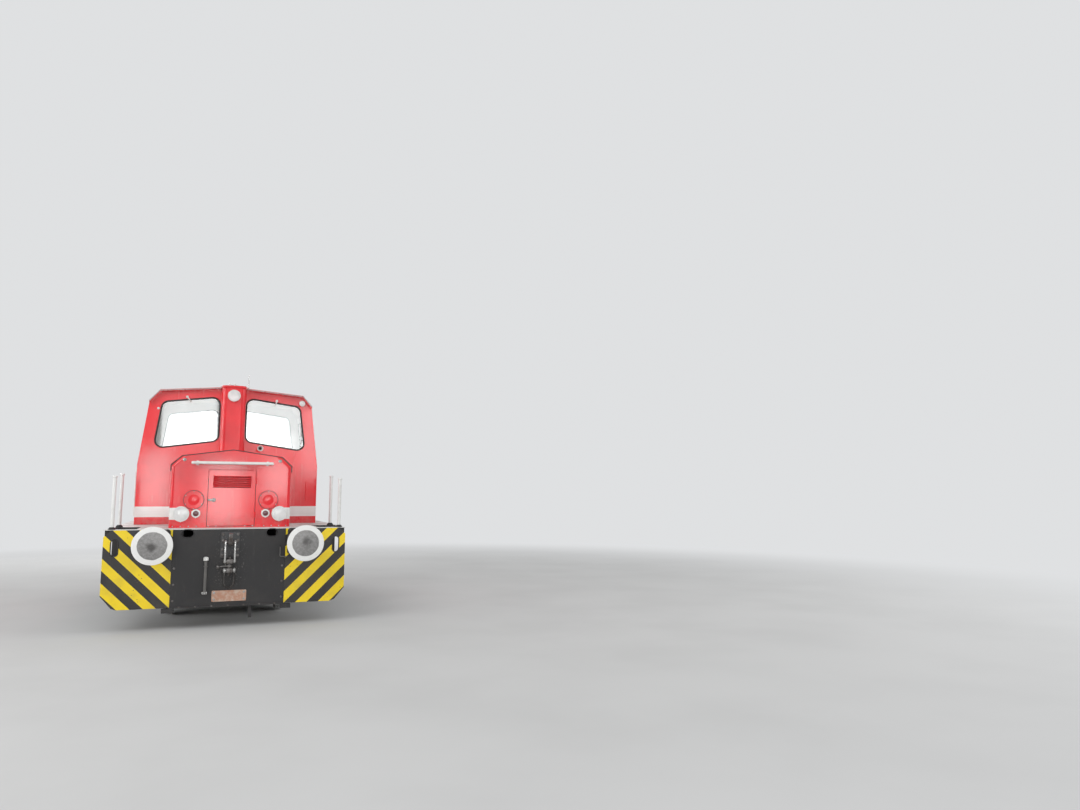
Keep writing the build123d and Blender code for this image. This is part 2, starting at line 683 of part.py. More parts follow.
with BuildPart() as exhaust_stack:
    with BuildSketch(Plane.XY.offset(hood_ridge_z + fit)) as duct:
        with Locations((0, -cab_end_y - stack_depth / 2)):
            Rectangle(2 * stack_half, stack_depth)
        fillet(duct.vertices().group_by(Axis.Y)[0], stack_r)
    extrude(amount=roof_ridge_z - hood_ridge_z)
    with Locations((0, -cab_end_y - stack_depth / 2, roof_ridge_z + fit)):
        Cylinder(outlet_r, 2 * outlet_depth, mode=Mode.SUBTRACT)
save(exhaust_stack, "exhaust_stack")

# Cab fittings
desk_half, desk_depth, desk_height = 420, 365, 997
seat_x, seat_y, seat_h = cab_half_width - 456, wall_inside_y - 370, 445
cushion_size, back_size, pedestal_side = (460, 430, 90), (440, 80, 560), 110

with BuildPart() as control_desk:
    desk_back = -wall_inside_y + 5
    desk_top_z = deck_top_z + desk_height
    extrude(side_view([
        (desk_back, deck_top_z),
        (desk_back, desk_top_z),
        (desk_back + 0.55 * desk_depth, desk_top_z),
        (desk_back + desk_depth, desk_top_z - 130),
        (desk_back + desk_depth, deck_top_z),
    ], 0), amount=desk_half, both=True)
save(control_desk, "control_desk")

with BuildPart() as seats:
    for side in (-1, 1):
        with Locations((side * seat_x, seat_y, deck_top_z + seat_h / 2 - 20)):
            Box(pedestal_side, pedestal_side, seat_h - 40)
        with Locations((side * seat_x, seat_y, deck_top_z + seat_h)):
            Box(*cushion_size)
        with Locations((side * seat_x, seat_y + cushion_size[1] / 2 - 10, deck_top_z + seat_h + 20)):
            Box(120, 120, 60)
        with Locations(Location((side * seat_x, seat_y + cushion_size[1] / 2 + 35,
                                 deck_top_z + seat_h + back_size[2] / 2 - 5), (-6, 0, 0))):
            Box(*back_size)
save(seats, "seats")

# Power train: an engine block on the deck's well and a gearbox round the jackshaft
engine_top_z = hood_side_top_z - 168
engine_foot = (2 * (engine_half_width + 180), 50)
with BuildPart() as engine_block:
    engine_mid, engine_length = -sum(engine_y) / 2, engine_y[1] - engine_y[0]
    with Locations((0, engine_mid, (engine_top_z + stretcher_top_z + 20) / 2)):
        Box(2 * engine_half_width, engine_length, engine_top_z - stretcher_top_z - 20)
    with Locations((0, engine_mid, deck_top_z + engine_foot[1] / 2)):
        Box(engine_foot[0], engine_length, engine_foot[1])
save(engine_block, "engine_block")

gearbox_width, gearbox_length, gearbox_height, gearbox_r = 1000, 640, 640, 60
hanger_length, hanger_height = 300, 310
with BuildPart() as transmission_case:
    gearbox_z = axle_z + 110
    with Locations((0, 0, gearbox_z)):
        Box(gearbox_width, gearbox_length, gearbox_height)
    chamfer(transmission_case.edges().filter_by(Axis.X), gearbox_r)
    with Locations((0, 0, gearbox_z + gearbox_height / 2 + hanger_height / 2 - 10)):
        Box(2 * plate_inner_x, hanger_length, beam_top_z - gearbox_z - gearbox_height / 2)
    with Locations(Location((0, 0, axle_z), (0, 90, 0))):
        Cylinder(jackshaft_r + running_gap, 2 * plate_outer_x, mode=Mode.SUBTRACT)
save(transmission_case, "transmission_case")

# Lamps: x, z, radius and depth of each on the hood's end, and a top lamp at each end of the cab
head_lamp_inset, tail_lamp_inset = 145, 323
lamp_table = (
    (hood_half_width - head_lamp_inset, deck_top_z + 180, 100, 60),
    (hood_half_width - tail_lamp_inset, deck_top_z + 185, 55, 40),
)
top_lamp_r, top_lamp_depth = 90, 70
top_lamp_drop, rear_lamp_drop = 160, 428
lamp_sides = 24
with BuildPart() as lamps:
    for x, z, radius, depth in lamp_table:
        with BuildSketch(Plane.XZ.offset(hood_end_y)):
            with Locations((-x, z), (x, z)):
                RegularPolygon(radius, lamp_sides)
        extrude(amount=depth)
    mirror(about=Plane.XZ)
    for y, drop, end in ((-cab_end_y - stack_depth, top_lamp_drop, -1), (cab_end_y, rear_lamp_drop, 1)):
        with BuildSketch(Plane.XZ.offset(-y)):
            with Locations((0, roof_ridge_z - drop)):
                RegularPolygon(top_lamp_r, lamp_sides)
        extrude(amount=-end * top_lamp_depth)
save(lamps, "lamps")

# Handrails: posts at the corner steps and the grab rail across each hood
post_r, post_cap_h, post_sides = 23, 24, 12
post_x = deck_half_width - 85
post_ys = (beam_face_y - 30, bay_rear_y - 15)
post_heights = (665, 715)
rail_z, rail_out, rail_r, rail_length = hood_side_top_z + 35, 60, 21, 2 * hood_shoulder_x - 230
rail_foot_x = rail_length / 2 - 75
with BuildPart() as handrails:
    for y, height in zip(post_ys, post_heights):
        add(post(post_x, -y, deck_top_z, height, post_r, post_sides))
        add(post(post_x, -y, deck_top_z + height - post_cap_h, post_cap_h, post_r + 6, post_sides))
    mirror(about=Plane.YZ)
    with BuildSketch(Plane.YZ.offset(-rail_length / 2)):
        with Locations((-hood_end_y - rail_out, rail_z)):
            RegularPolygon(rail_r, post_sides)
    extrude(amount=rail_length)
    for x in (-rail_foot_x, rail_foot_x):
        with Locations((x, -hood_end_y - rail_out / 2, rail_z)):
            Box(24, rail_out, 24)
    mirror(about=Plane.XZ)
save(handrails, "handrails")

# Horn on the cab's front wall and a whip aerial beside the duct
horn_x, horn_y, horn_z = stack_half + 230, cab_end_y + 40, cab_waist_z + 260
horn_length, horn_throat_r, horn_mouth_r = 150, 20, 46
horn_bracket = (36, 60, 60)
aerial_x, aerial_r, aerial_height = stack_half + 30, 9, 220
roof_slope = (roof_ridge_z - roof_corner_z) / roof_corner_x
with BuildPart() as horn_and_aerial:
    add(grown_section([
        (horn_y, horn_throat_r),
        (horn_y + 0.6 * horn_length, horn_throat_r),
        (horn_y + horn_length, horn_mouth_r),
    ], horn_x, horn_z, 20))
    with Locations((horn_x, -cab_end_y - fit - horn_bracket[1] / 2, horn_z)):
        Box(*horn_bracket)
    aerial_low_z = roof_ridge_z - roof_slope * (aerial_x - aerial_r) + fit
    add(post(aerial_x, -cab_end_y - 40, aerial_low_z, aerial_height, aerial_r, post_sides))
save(horn_and_aerial, "horn_and_aerial")

# Steps at the corners: two treads across each bay, carried by the beam and a rear plate
tread_t, tread_edge = 20, 30
corner_tread_zs = (490, 850)
step_plate_t = 16
step_low_z = 467
with BuildPart() as corner_steps:
    step_mid_x = (bay_inner_x + deck_half_width) / 2
    step_width = bay_width - 2 * tread_edge + 35
    stringer_y = bay_rear_y - step_plate_t / 2
    with Locations((step_mid_x, -stringer_y, (sill_low_z + step_low_z) / 2)):
        Box(step_width, step_plate_t, sill_low_z - step_low_z)
    for z in corner_tread_zs:
        with Locations((step_mid_x, -(stringer_y + beam_face_y - face_plate_t) / 2, z)):
            Box(step_width - 30, beam_face_y - face_plate_t - stringer_y, tread_t)
    mirror(about=Plane.XZ)
    mirror(about=Plane.YZ)
save(corner_steps, "corner_steps")

# Ladders below the cab doors: two stringers and two treads each
ladder_half, ladder_depth = 298, 270
ladder_tread_zs = (420, 780)
ladder_low_z = 400
with BuildPart() as cab_ladders:
    ladder_x = deck_half_width - 20 - ladder_depth / 2
    with Locations(*[(ladder_x, y, (sill_low_z + ladder_low_z) / 2)
                     for y in (step_plate_t / 2 - ladder_half, ladder_half - step_plate_t / 2)]):
        Box(ladder_depth, step_plate_t, sill_low_z - ladder_low_z)
    with Locations(*[(ladder_x, 0, z) for z in ladder_tread_zs]):
        Box(ladder_depth, 2 * ladder_half - step_plate_t, tread_t)
    mirror(about=Plane.YZ)
save(cab_ladders, "cab_ladders")

# Tanks: two air reservoirs, four sandboxes and the fuel tank in the rear hood
reservoir_r, reservoir_length, reservoir_y, reservoir_gap = 150, 620, 800, 55
reservoir_x = wheel_outer_x + reservoir_gap + reservoir_r
reservoir_drop, saddle_offset, saddle_size = 160, 200, (200, 40)
sandbox_x, sandbox_size = plate_outer_x + 280, (300, 130, 400)
fuel_tank_size, fuel_tank_gap = (1200, 500, 600), 170
with BuildPart() as tanks:
    for side in (-1, 1):
        reservoir_mid = side * reservoir_y
        with BuildSketch(Plane.XZ.offset(-reservoir_mid)):
            with Locations((side * reservoir_x, beam_top_z - reservoir_drop)):
                Circle(reservoir_r)
        extrude(amount=reservoir_length / 2, both=True)
        with Locations(*[(side * reservoir_x, reservoir_mid + y, beam_top_z - reservoir_drop / 4)
                         for y in (-saddle_offset, saddle_offset)]):
            Box(*saddle_size, reservoir_drop / 2)
    with Locations(*[(x, y, beam_top_z - sandbox_size[2] / 2)
                     for x in (-sandbox_x, sandbox_x)
                     for y in (-axle_y - 610, axle_y + 610)]):
        Box(*sandbox_size)
    with Locations((0, hood_end_y - fuel_tank_gap - fuel_tank_size[1] / 2, deck_top_z + fuel_tank_size[2] / 2)):
        Box(*fuel_tank_size)
save(tanks, "tanks")

# Axle boxes in the horn gaps, each under a leaf spring hung from the frame plate
axle_box_t = 150
spring_width, leaf_t, leaf_step = 60, 16, 70
leaf_halves = (400, 330, 260, 190, 120)
buckle = (70, 110)
with BuildPart() as axle_boxes:
    box_top_z = axle_z + axle_box_height / 2
    spring_x = plate_inner_x - spring_width / 2
    spring_low_z = box_top_z + 30
    for end in (-1, 1):
        with Locations((frame_plate_x, end * axle_y, axle_z)):
            Box(axle_box_t, axle_box_width, axle_box_height)
        with Locations((frame_plate_x, end * axle_y, (box_top_z + horn_top_z) / 2)):
            Box(60, 100, horn_top_z - box_top_z)
        # leaves from the longest, at the top, down to the shortest in the buckle
        steps_up = [(half, spring_low_z + (len(leaf_halves) - 1 - row) * leaf_t)
                    for row, half in enumerate(leaf_halves)]
        profile = [point for half, low in steps_up for point in ((half, low + leaf_t), (half, low))]
        with BuildSketch(Plane.YZ.offset(spring_x)):
            with BuildLine():
                Polyline(*[(end * axle_y + y, z) for y, z in mirrored(profile)], close=True)
            make_face()
        extrude(amount=spring_width / 2, both=True)
        spring_top_z = spring_low_z + len(leaf_halves) * leaf_t
        with Locations((spring_x, end * axle_y, (box_top_z + spring_top_z + 12) / 2)):
            Box(spring_width, buckle[1], spring_top_z + 12 - box_top_z)
        with Locations(Location((frame_plate_x, end * axle_y, axle_z), (0, 90, 0))):
            Cylinder(axle_r + running_gap, 2 * axle_box_t, mode=Mode.SUBTRACT)
    mirror(about=Plane.YZ)
save(axle_boxes, "axle_boxes")

# Brake gear: a shoe on the inner side of each wheel, hung from the frame
shoe_gap, shoe_t, shoe_width, shoe_height = 8, 60, 80, 360
hanger_t, hanger_depth = 30, 40
with BuildPart() as brake_gear:
    shoe_r = tread_radius + shoe_gap
    shoe_inner_x = wheel_outer_x - tyre_width + 45
    hanger_y = axle_y - shoe_r - shoe_t
    with BuildSketch(Plane.YZ.offset(shoe_inner_x)):
        with Locations((axle_y, axle_z)):
            Circle(shoe_r + shoe_t)
            Circle(shoe_r, mode=Mode.SUBTRACT)
        with Locations((axle_y - shoe_r, axle_z)):
            Rectangle(2 * shoe_t + 40, shoe_height, mode=Mode.INTERSECT)
    extrude(amount=shoe_width)
    hanger_x = shoe_inner_x + shoe_width / 2
    hanger_top_z = axle_z + 610
    with Locations((hanger_x, hanger_y, (hanger_top_z + axle_z - 10) / 2)):
        Box(hanger_t, hanger_depth, hanger_top_z - axle_z + 10)
    with Locations(((plate_outer_x + hanger_x) / 2, hanger_y, hanger_top_z - 30)):
        Box(hanger_x - plate_outer_x, hanger_depth, 40)
    mirror(about=Plane.YZ)
    mirror(about=Plane.XZ)
save(brake_gear, "brake_gear")

# Wheels: tyre with flange, web, boss, balance weight, crank boss and crankpin
hub_r = 135
web_t = 45
rim_t = 75
flange_t, flange_top = 32, 14
weight_t = 30
weight_inner_r, weight_chord_x = 230, 150
pin_length = rod_side_gap + rod_t + rod_side_gap + collar_t
collar_sides, boss_sides = 16, 36
# side of the locomotive and direction of its cranks at rest, in degrees up from +Y
crank_table = ((-1, 225), (1, 315))


def crank_centre(angle, y=0.0):
    """Where a crankpin stands in side view, for a shaft at station y."""
    return y + crank_throw * cos(radians(angle)), axle_z + crank_throw * sin(radians(angle))


def crankpin(side, pin_y, pin_z):
    """A crankpin with its collar, from the face of its boss outwards."""
    with BuildPart() as pin:
        with BuildSketch(Plane.YZ.offset(side * boss_face_x)):
            with Locations((pin_y, pin_z)):
                Circle(crankpin_r)
        extrude(amount=side * pin_length)
        with BuildSketch(Plane.YZ.offset(side * (boss_face_x + pin_length - collar_t))):
            with Locations((pin_y, pin_z)):
                RegularPolygon(crankpin_r + collar_t, collar_sides)
        extrude(amount=side * collar_t)
    return pin.part


web_outer_x = wheel_inner_x + 20 + web_t
rim_inner_r = tread_radius - rim_t
for end_name, end in ENDS:
    with BuildPart() as wheels:
        for side, angle in crank_table:
            wheel_profile = [
                (wheel_inner_x, 0),
                (boss_face_x - 20, 0),
                (boss_face_x - 20, hub_r),
                (web_outer_x, hub_r),
                (web_outer_x, rim_inner_r),
                (wheel_outer_x, rim_inner_r),
                (wheel_outer_x, tread_radius),
                (wheel_inner_x + flange_t, tread_radius),
                (wheel_inner_x + flange_top, tread_radius + flange_depth),
                (wheel_inner_x, tread_radius + flange_depth),
            ]
            with BuildSketch(Plane.XY.offset(axle_z)):
                with BuildLine():
                    Polyline(*[(side * x, end * axle_y + r) for x, r in wheel_profile], close=True)
                make_face()
            revolve(axis=Axis((0, end * axle_y, axle_z), (1, 0, 0)))
            pin_y, pin_z = crank_centre(angle, end * axle_y)
            with BuildSketch(Plane.YZ.offset(side * web_outer_x)):
                with Locations((pin_y, pin_z)):
                    RegularPolygon(boss_r, boss_sides)
            extrude(amount=side * (boss_face_x - web_outer_x))
            add(crankpin(side, pin_y, pin_z))
            with BuildSketch(Plane.YZ.offset(side * web_outer_x)):
                with Locations((end * axle_y, axle_z)):
                    Circle(rim_inner_r)
                    Circle(weight_inner_r, mode=Mode.SUBTRACT)
                    with Locations(Location((0, 0, 0), (0, 0, angle + 180))):
                        with Locations((weight_chord_x + rim_inner_r / 2, 0)):
                            Rectangle(rim_inner_r, 2 * rim_inner_r, mode=Mode.INTERSECT)
            extrude(amount=side * weight_t)
    save(wheels, f"{end_name}_wheels")
    with BuildPart() as axle:
        with BuildSketch(Plane.YZ):
            with Locations((end * axle_y, axle_z)):
                Circle(axle_r)
        extrude(amount=wheel_inner_x, both=True)
    save(axle, f"{end_name}_axle")

# Jackshaft: a shaft through the gearbox with a crank and balance weight at each end
crank_inner_x = wheel_inner_x + 55
crank_hub_r, counterweight_r, counterweight_t = 140, 330, 60
with BuildPart() as jackshaft:
    with BuildSketch(Plane.YZ):
        with Locations((0, axle_z)):
            Circle(jackshaft_r)
    extrude(amount=crank_inner_x, both=True)
    for side, angle in crank_table:
        pin_y, pin_z = crank_centre(angle)
        with BuildSketch(Plane.YZ.offset(side * crank_inner_x)):
            with Locations((0, axle_z)):
                Circle(crank_hub_r)
            with Locations((pin_y, pin_z)):
                Circle(boss_r)
            make_hull()
        extrude(amount=side * (boss_face_x - crank_inner_x))
        with BuildSketch(Plane.YZ.offset(side * crank_inner_x)):
            with Locations((0, axle_z)):
                Circle(counterweight_r)
                with Locations(Location((0, 0, 0), (0, 0, angle + 180))):
                    with Locations((counterweight_r, 0)):
                        Rectangle(2 * counterweight_r - 80, 2 * counterweight_r - 230, mode=Mode.INTERSECT)
        extrude(amount=side * counterweight_t)
        add(crankpin(side, pin_y, pin_z))
save(jackshaft, "jackshaft")

# Coupling rods: one bar a side, fluted between its three eyes
rod_eye_r, rod_depth = 85, 100
flute_depth, flute_rim = 10, 24
rod_inner_x = boss_face_x + rod_side_gap
for (side_name, side), (_, angle) in zip(SIDES, crank_table):
    pin_y, pin_z = crank_centre(angle)
    with BuildPart() as rod:
        with BuildSketch(Plane.YZ.offset(side * rod_inner_x)):
            with Locations((pin_y, pin_z)):
                Rectangle(wheelbase, rod_depth)
            with Locations(*[(pin_y + y, pin_z) for y in (-axle_y, 0, axle_y)]):
                Circle(rod_eye_r)
                Circle(crankpin_r + running_gap, mode=Mode.SUBTRACT)
        extrude(amount=side * rod_t)
        flute_length = axle_y - 2 * rod_eye_r - 2 * flute_rim
        with Locations(*[(side * (rod_inner_x + rod_t), pin_y + y, pin_z) for y in (-axle_y / 2, axle_y / 2)]):
            Box(2 * flute_depth, flute_length, rod_depth - 2 * flute_rim, mode=Mode.SUBTRACT)
    save(rod, f"coupling_rod_{side_name}")
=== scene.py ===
"""Looks of a two-axle centre-cab shunting locomotive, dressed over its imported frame.

All lengths are metres. X runs across, Y along with the front at -Y, Z up from the flange tips.
"""
from __future__ import annotations

import json
import logging
import math
from dataclasses import dataclass, field
from enum import Enum
from typing import Callable, Mapping, Sequence

import bmesh
import bpy
from mathutils import Matrix, Vector
from mathutils.bvhtree import BVHTree

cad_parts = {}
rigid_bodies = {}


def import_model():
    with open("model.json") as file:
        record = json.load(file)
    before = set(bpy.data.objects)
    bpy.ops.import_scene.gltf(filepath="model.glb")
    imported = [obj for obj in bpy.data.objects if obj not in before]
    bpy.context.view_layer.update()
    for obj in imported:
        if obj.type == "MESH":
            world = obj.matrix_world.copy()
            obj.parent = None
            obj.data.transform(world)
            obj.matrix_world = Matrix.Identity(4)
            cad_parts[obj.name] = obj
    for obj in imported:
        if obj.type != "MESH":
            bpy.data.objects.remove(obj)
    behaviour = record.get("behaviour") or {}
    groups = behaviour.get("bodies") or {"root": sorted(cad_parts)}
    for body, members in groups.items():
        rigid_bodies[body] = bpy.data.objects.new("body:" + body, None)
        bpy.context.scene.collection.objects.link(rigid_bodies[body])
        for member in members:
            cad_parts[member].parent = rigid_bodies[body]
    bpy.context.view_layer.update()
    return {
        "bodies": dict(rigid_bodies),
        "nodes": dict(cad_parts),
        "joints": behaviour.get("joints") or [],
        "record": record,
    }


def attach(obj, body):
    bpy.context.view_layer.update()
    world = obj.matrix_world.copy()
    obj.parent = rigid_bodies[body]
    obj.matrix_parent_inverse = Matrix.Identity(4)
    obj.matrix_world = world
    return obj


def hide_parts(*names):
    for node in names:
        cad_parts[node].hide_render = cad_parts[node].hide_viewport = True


log = logging.getLogger("locomotive")

Point = tuple[float, float, float]
Colour = tuple[float, float, float]
Pair = tuple[float, float]
Row = tuple[float, float, int]
Profile = Sequence[Pair]

UP: Point = (0.0, 0.0, 1.0)
DOWN: Point = (0.0, 0.0, -1.0)
ACROSS: Point = (1.0, 0.0, 0.0)
ALONG: Point = (0.0, 1.0, 0.0)
BLACK: Colour = (0.0, 0.0, 0.0)
SQUARE: Profile = ((-1.0, -1.0), (1.0, -1.0), (1.0, 1.0), (-1.0, 1.0))
SHARP = math.radians(32.0)


class Body(Enum):
    """Bodies that the dressed pieces ride on."""

    CHASSIS = "chassis"
    FRONT_WHEELS = "front_wheelset"
    REAR_WHEELS = "rear_wheelset"
    JACKSHAFT = "jackshaft_cranks"
    LEFT_ROD = "left_rod"
    RIGHT_ROD = "right_rod"
    LEFT_CAB_DOOR = "left_cab_door"
    RIGHT_CAB_DOOR = "right_cab_door"
    FRONT_END_DOOR = "front_end_door"
    REAR_END_DOOR = "rear_end_door"
    FRONT_LEFT_DOOR = "front_left_side_door"
    FRONT_RIGHT_DOOR = "front_right_side_door"
    REAR_LEFT_DOOR = "rear_left_side_door"
    REAR_RIGHT_DOOR = "rear_right_side_door"


class Slot(Enum):
    """Material slots of the record."""

    RED = "red_paint"
    FRAME = "frame_paint"
    WHITE = "white_paint"
    BUFFER = "buffer_steel"
    WORN = "worn_steel"
    ENGINE = "engine_paint"
    DESK = "desk_paint"
    LEATHER = "seat_leather"
    HORN = "horn_metal"


class Side(Enum):
    """Left and right, seen from the front."""

    LEFT = -1
    RIGHT = 1

    @property
    def out(self) -> Point:
        """Direction out of this side."""
        return (float(self.value), 0.0, 0.0)

    def at(self, x: float, y: float, z: float) -> Point:
        """A point at x on this side."""
        return (self.value * x, y, z)


class End(Enum):
    """Front and rear end of the locomotive."""

    FRONT = -1
    REAR = 1

    @property
    def out(self) -> Point:
        """Direction out of this end."""
        return (0.0, float(self.value), 0.0)

    def at(self, x: float, y: float, z: float) -> Point:
        """A point at y on this end."""
        return (x, self.value * y, z)


CORNERS = tuple((end, side) for end in End for side in Side)


def operator(operation: str, swap: bool = False) -> Callable[[Signal, Signal | float], Signal]:
    """A method of Signal that adds one Math node.

    Args:
        operation: Blender's name of the operation.
        swap: Whether the signal is the second operand.

    Returns:
        The method.
    """
    def apply(signal: Signal, other: Signal | float) -> Signal:
        return signal.math(operation, other, swap=swap)

    return apply


class Signal:
    """A shader socket that Python's operators work on by adding Math nodes; comparing gives 0 or 1."""

    def __init__(self, shader: Shader, socket: bpy.types.NodeSocket) -> None:
        """Wrap a socket.

        Args:
            shader: The material that the socket belongs to.
            socket: An output socket that carries a value, colour or vector.
        """
        self.shader = shader
        self.socket = socket

    def math(self, operation: str, *others: Signal | float, swap: bool = False) -> Signal:
        """Add one Math node to this value.

        Args:
            operation: Blender's name of the operation.
            others: The other operands.
            swap: Whether this value is the second operand.

        Returns:
            The node's result.
        """
        operands = [self, *others]
        if swap:
            operands[:2] = operands[1::-1]
        made = self.shader.node("ShaderNodeMath", {"operation": operation}, dict(enumerate(operands)))
        return Signal(self.shader, made.outputs[0])

    __add__ = __radd__ = operator("ADD")
    __sub__ = operator("SUBTRACT")
    __rsub__ = operator("SUBTRACT", swap=True)
    __mul__ = __rmul__ = operator("MULTIPLY")
    __truediv__ = operator("DIVIDE")
    __pow__ = operator("POWER")
    __mod__ = operator("FLOORED_MODULO")
    __gt__ = operator("GREATER_THAN")
    __lt__ = operator("LESS_THAN")

    def __abs__(self) -> Signal:
        """Magnitude."""
        return self.math("ABSOLUTE")

    def either(self, other: Signal) -> Signal:
        """The larger of two masks."""
        return self.math("MAXIMUM", other)

    def ramp(self, low: float, high: float) -> Signal:
        """A smooth step from 0 at low to 1 at high; high may be the smaller."""
        made = self.shader.node("ShaderNodeMapRange", {"interpolation_type": "SMOOTHSTEP"},
                                {"Value": self, "From Min": min(low, high), "From Max": max(low, high),
                                 "To Min": float(low > high), "To Max": float(low < high)})
        return Signal(self.shader, made.outputs["Result"])


class Shader:
    """A material whose nodes are added through one method."""

    def __init__(self, name: str) -> None:
        """Start a material.

        Args:
            name: The material's name.
        """
        self.material = bpy.data.materials.new(name)
        self.material.use_nodes = True
        self.tree = self.material.node_tree
        self.tree.nodes.clear()
        self.surface = self.node("ShaderNodeBsdfPrincipled")
        self.node("ShaderNodeOutputMaterial", {}, {"Surface": Signal(self, self.surface.outputs[0])})
        self._place: Signal | None = None

    def node(self, kind: str, settings: Mapping[str, object] | None = None,
             sockets: Mapping[str | int, object] | None = None) -> bpy.types.Node:
        """Add a node.

        Args:
            kind: The node's type.
            settings: Properties, set first; "stops" gives a ramp's positions and colours.
            sockets: Values or signals for its inputs, by name or number.

        Returns:
            The new node.
        """
        made = self.tree.nodes.new(kind)
        for key, value in (settings or {}).items():
            if key == "stops":
                for element, (position, colour) in zip(made.color_ramp.elements, value):
                    element.position, element.color = position, (*colour, 1.0)
            else:
                setattr(made, key, value)
        for key, value in (sockets or {}).items():
            if isinstance(value, Signal):
                self.tree.links.new(value.socket, made.inputs[key])
            else:
                made.inputs[key].default_value = value
        return made

    @property
    def place(self) -> Signal:
        """The point's place on the locomotive at rest, as a vector."""
        if self._place is None:
            self._place = Signal(self, self.node("ShaderNodeTexCoord").outputs["Object"])
        return self._place

    def axes(self) -> tuple[Signal, Signal, Signal]:
        """The x, y and z of the point's place."""
        parts = self.node("ShaderNodeSeparateXYZ", {}, {0: self.place})
        return tuple(Signal(self, socket) for socket in parts.outputs)

    def stretched(self, factor: Point) -> Signal:
        """The point's place, times a factor on each axis."""
        made = self.node("ShaderNodeVectorMath", {"operation": "MULTIPLY"}, {0: self.place, 1: factor})
        return Signal(self, made.outputs[0])

    def noise(self, scale: float, detail: float = 4.0, stretch: Point = (1.0, 1.0, 1.0),
              roughness: float = 0.5) -> Signal:
        """Fractal noise.

        Args:
            scale: Features per metre.
            detail: Octaves.
            stretch: Factor on each axis of the place, small where features run long.
            roughness: Weight of the fine octaves.

        Returns:
            A value about 0.5, from 0 to 1.
        """
        made = self.node("ShaderNodeTexNoise", {}, {
            "Vector": self.stretched(stretch), "Scale": scale, "Detail": detail, "Roughness": roughness})
        return Signal(self, made.outputs[0])

    def cells(self, scale: float, stretch: Point = (1.0, 1.0, 1.0)) -> Signal:
        """Distance to the nearest of scattered points, in cells."""
        made = self.node("ShaderNodeTexVoronoi", {}, {"Vector": self.stretched(stretch), "Scale": scale})
        return Signal(self, made.outputs["Distance"])

    def mix(self, mask: Signal | float, low: Signal | Colour, high: Signal | Colour) -> Signal:
        """Blend two colours.

        Args:
            mask: 0 for low, 1 for high.
            low: A colour or a signal.
            high: A colour or a signal.

        Returns:
            The blended colour.
        """
        low, high = (value if isinstance(value, Signal) else (*value, 1.0) for value in (low, high))
        made = self.node("ShaderNodeMix", {"data_type": "RGBA"}, {0: mask, 6: low, 7: high})
        return Signal(self, made.outputs[2])

    def bump(self, height: Signal, depth: float, edge: float = 0.0) -> Signal:
        """A normal from a height.

        Args:
            height: The height, about 0 to 1.
            depth: How deep 1 is, in metres.
            edge: Radius that sharp edges are rounded to, or 0.

        Returns:
            The normal.
        """
        sockets = {"Height": height, "Distance": depth, "Strength": 1.0}
        if edge:
            bevel = self.node("ShaderNodeBevel", {"samples": 4}, {"Radius": edge})
            sockets["Normal"] = Signal(self, bevel.outputs[0])
        return Signal(self, self.node("ShaderNodeBump", {}, sockets).outputs[0])

    def dress(self, **channels: object) -> bpy.types.Material:
        """Set the surface's sockets.

        Args:
            channels: Values or signals by socket name, with _ for a space.

        Returns:
            The finished material.
        """
        for key, value in channels.items():
            socket = self.surface.inputs[key.replace("_", " ")]
            if isinstance(value, Signal):
                self.tree.links.new(value.socket, socket)
            elif key == "Base_Color":
                socket.default_value = (*value, 1.0)
            else:
                socket.default_value = value
        return self.material


@dataclass(frozen=True)
class Band:
    """The painted band round the hoods and the cab."""

    low: float = 1.359
    high: float = 1.513
    from_x: float = 0.61
    colour: Colour = (0.82, 0.82, 0.80)


@dataclass(frozen=True)
class GlossPaint:
    """Gloss enamel on sheet metal, with an optional band and a lining inside the cab."""

    name: str
    colour: Colour = (0.86, 0.010, 0.020)
    shade: Colour = (0.64, 0.006, 0.014)
    dust: Colour = (0.42, 0.30, 0.27)
    band: Band | None = None
    lining: Colour | None = None
    wall_x: float = 1.256
    waist_z: float = 2.13
    lean: float = 0.1228
    inside_y: float = 0.945
    roof_z: float = 3.312
    roof_slope: float = 0.0882
    corner: float = 4.380
    corner_slope: float = 1.1429

    def inside(self, shader: Shader) -> Signal:
        """A mask of the faces that look into the cab."""
        x, y, z = shader.axes()
        limit = self.wall_x - (z - self.waist_z).math("MAXIMUM", 0.0) * self.lean
        roof = self.roof_z - abs(x) * self.roof_slope
        corner = self.corner - abs(x) * self.corner_slope
        return (limit - abs(x) > 0.0) * (abs(y) < self.inside_y) * (roof - z > 0.0) * (corner - z > 0.0)

    def build(self) -> bpy.types.Material:
        """Make the material."""
        shader = Shader(self.name)
        _, _, z = shader.axes()
        fade = shader.noise(1.7, 5.0)
        colour = shader.mix(fade.ramp(0.35, 0.75), self.colour, self.shade)
        if self.band:
            x, _, _ = shader.axes()
            stripe = (z > self.band.low) * (z < self.band.high) * (abs(x) > self.band.from_x)
            colour = shader.mix(stripe, colour, self.band.colour)
        streaks = shader.noise(14.0, 3.0, (1.0, 1.0, 0.06)).ramp(0.52, 0.8) * shader.noise(2.2).ramp(0.4, 0.7)
        low = z.ramp(1.50, 1.25) * shader.noise(9.0, 5.0).ramp(0.38, 0.7)
        dirt = streaks * 0.16 + low * 0.30
        colour = shader.mix(dirt, colour, self.dust)
        rough = 0.26 + dirt * 0.5
        coat = 1.0 - dirt
        if self.lining:
            within = self.inside(shader)
            colour = shader.mix(within, colour, self.lining)
            rough = rough + within * 0.3
            coat = coat * (1.0 - within)
        height = shader.noise(4.2, 2.5) * 0.9 + shader.noise(260.0, 2.0) * 0.035
        return shader.dress(Base_Color=colour, Roughness=rough, Specular_IOR_Level=0.22, Coat_Weight=coat,
                            Coat_Roughness=0.10, Normal=shader.bump(height, 0.0046, edge=0.004))


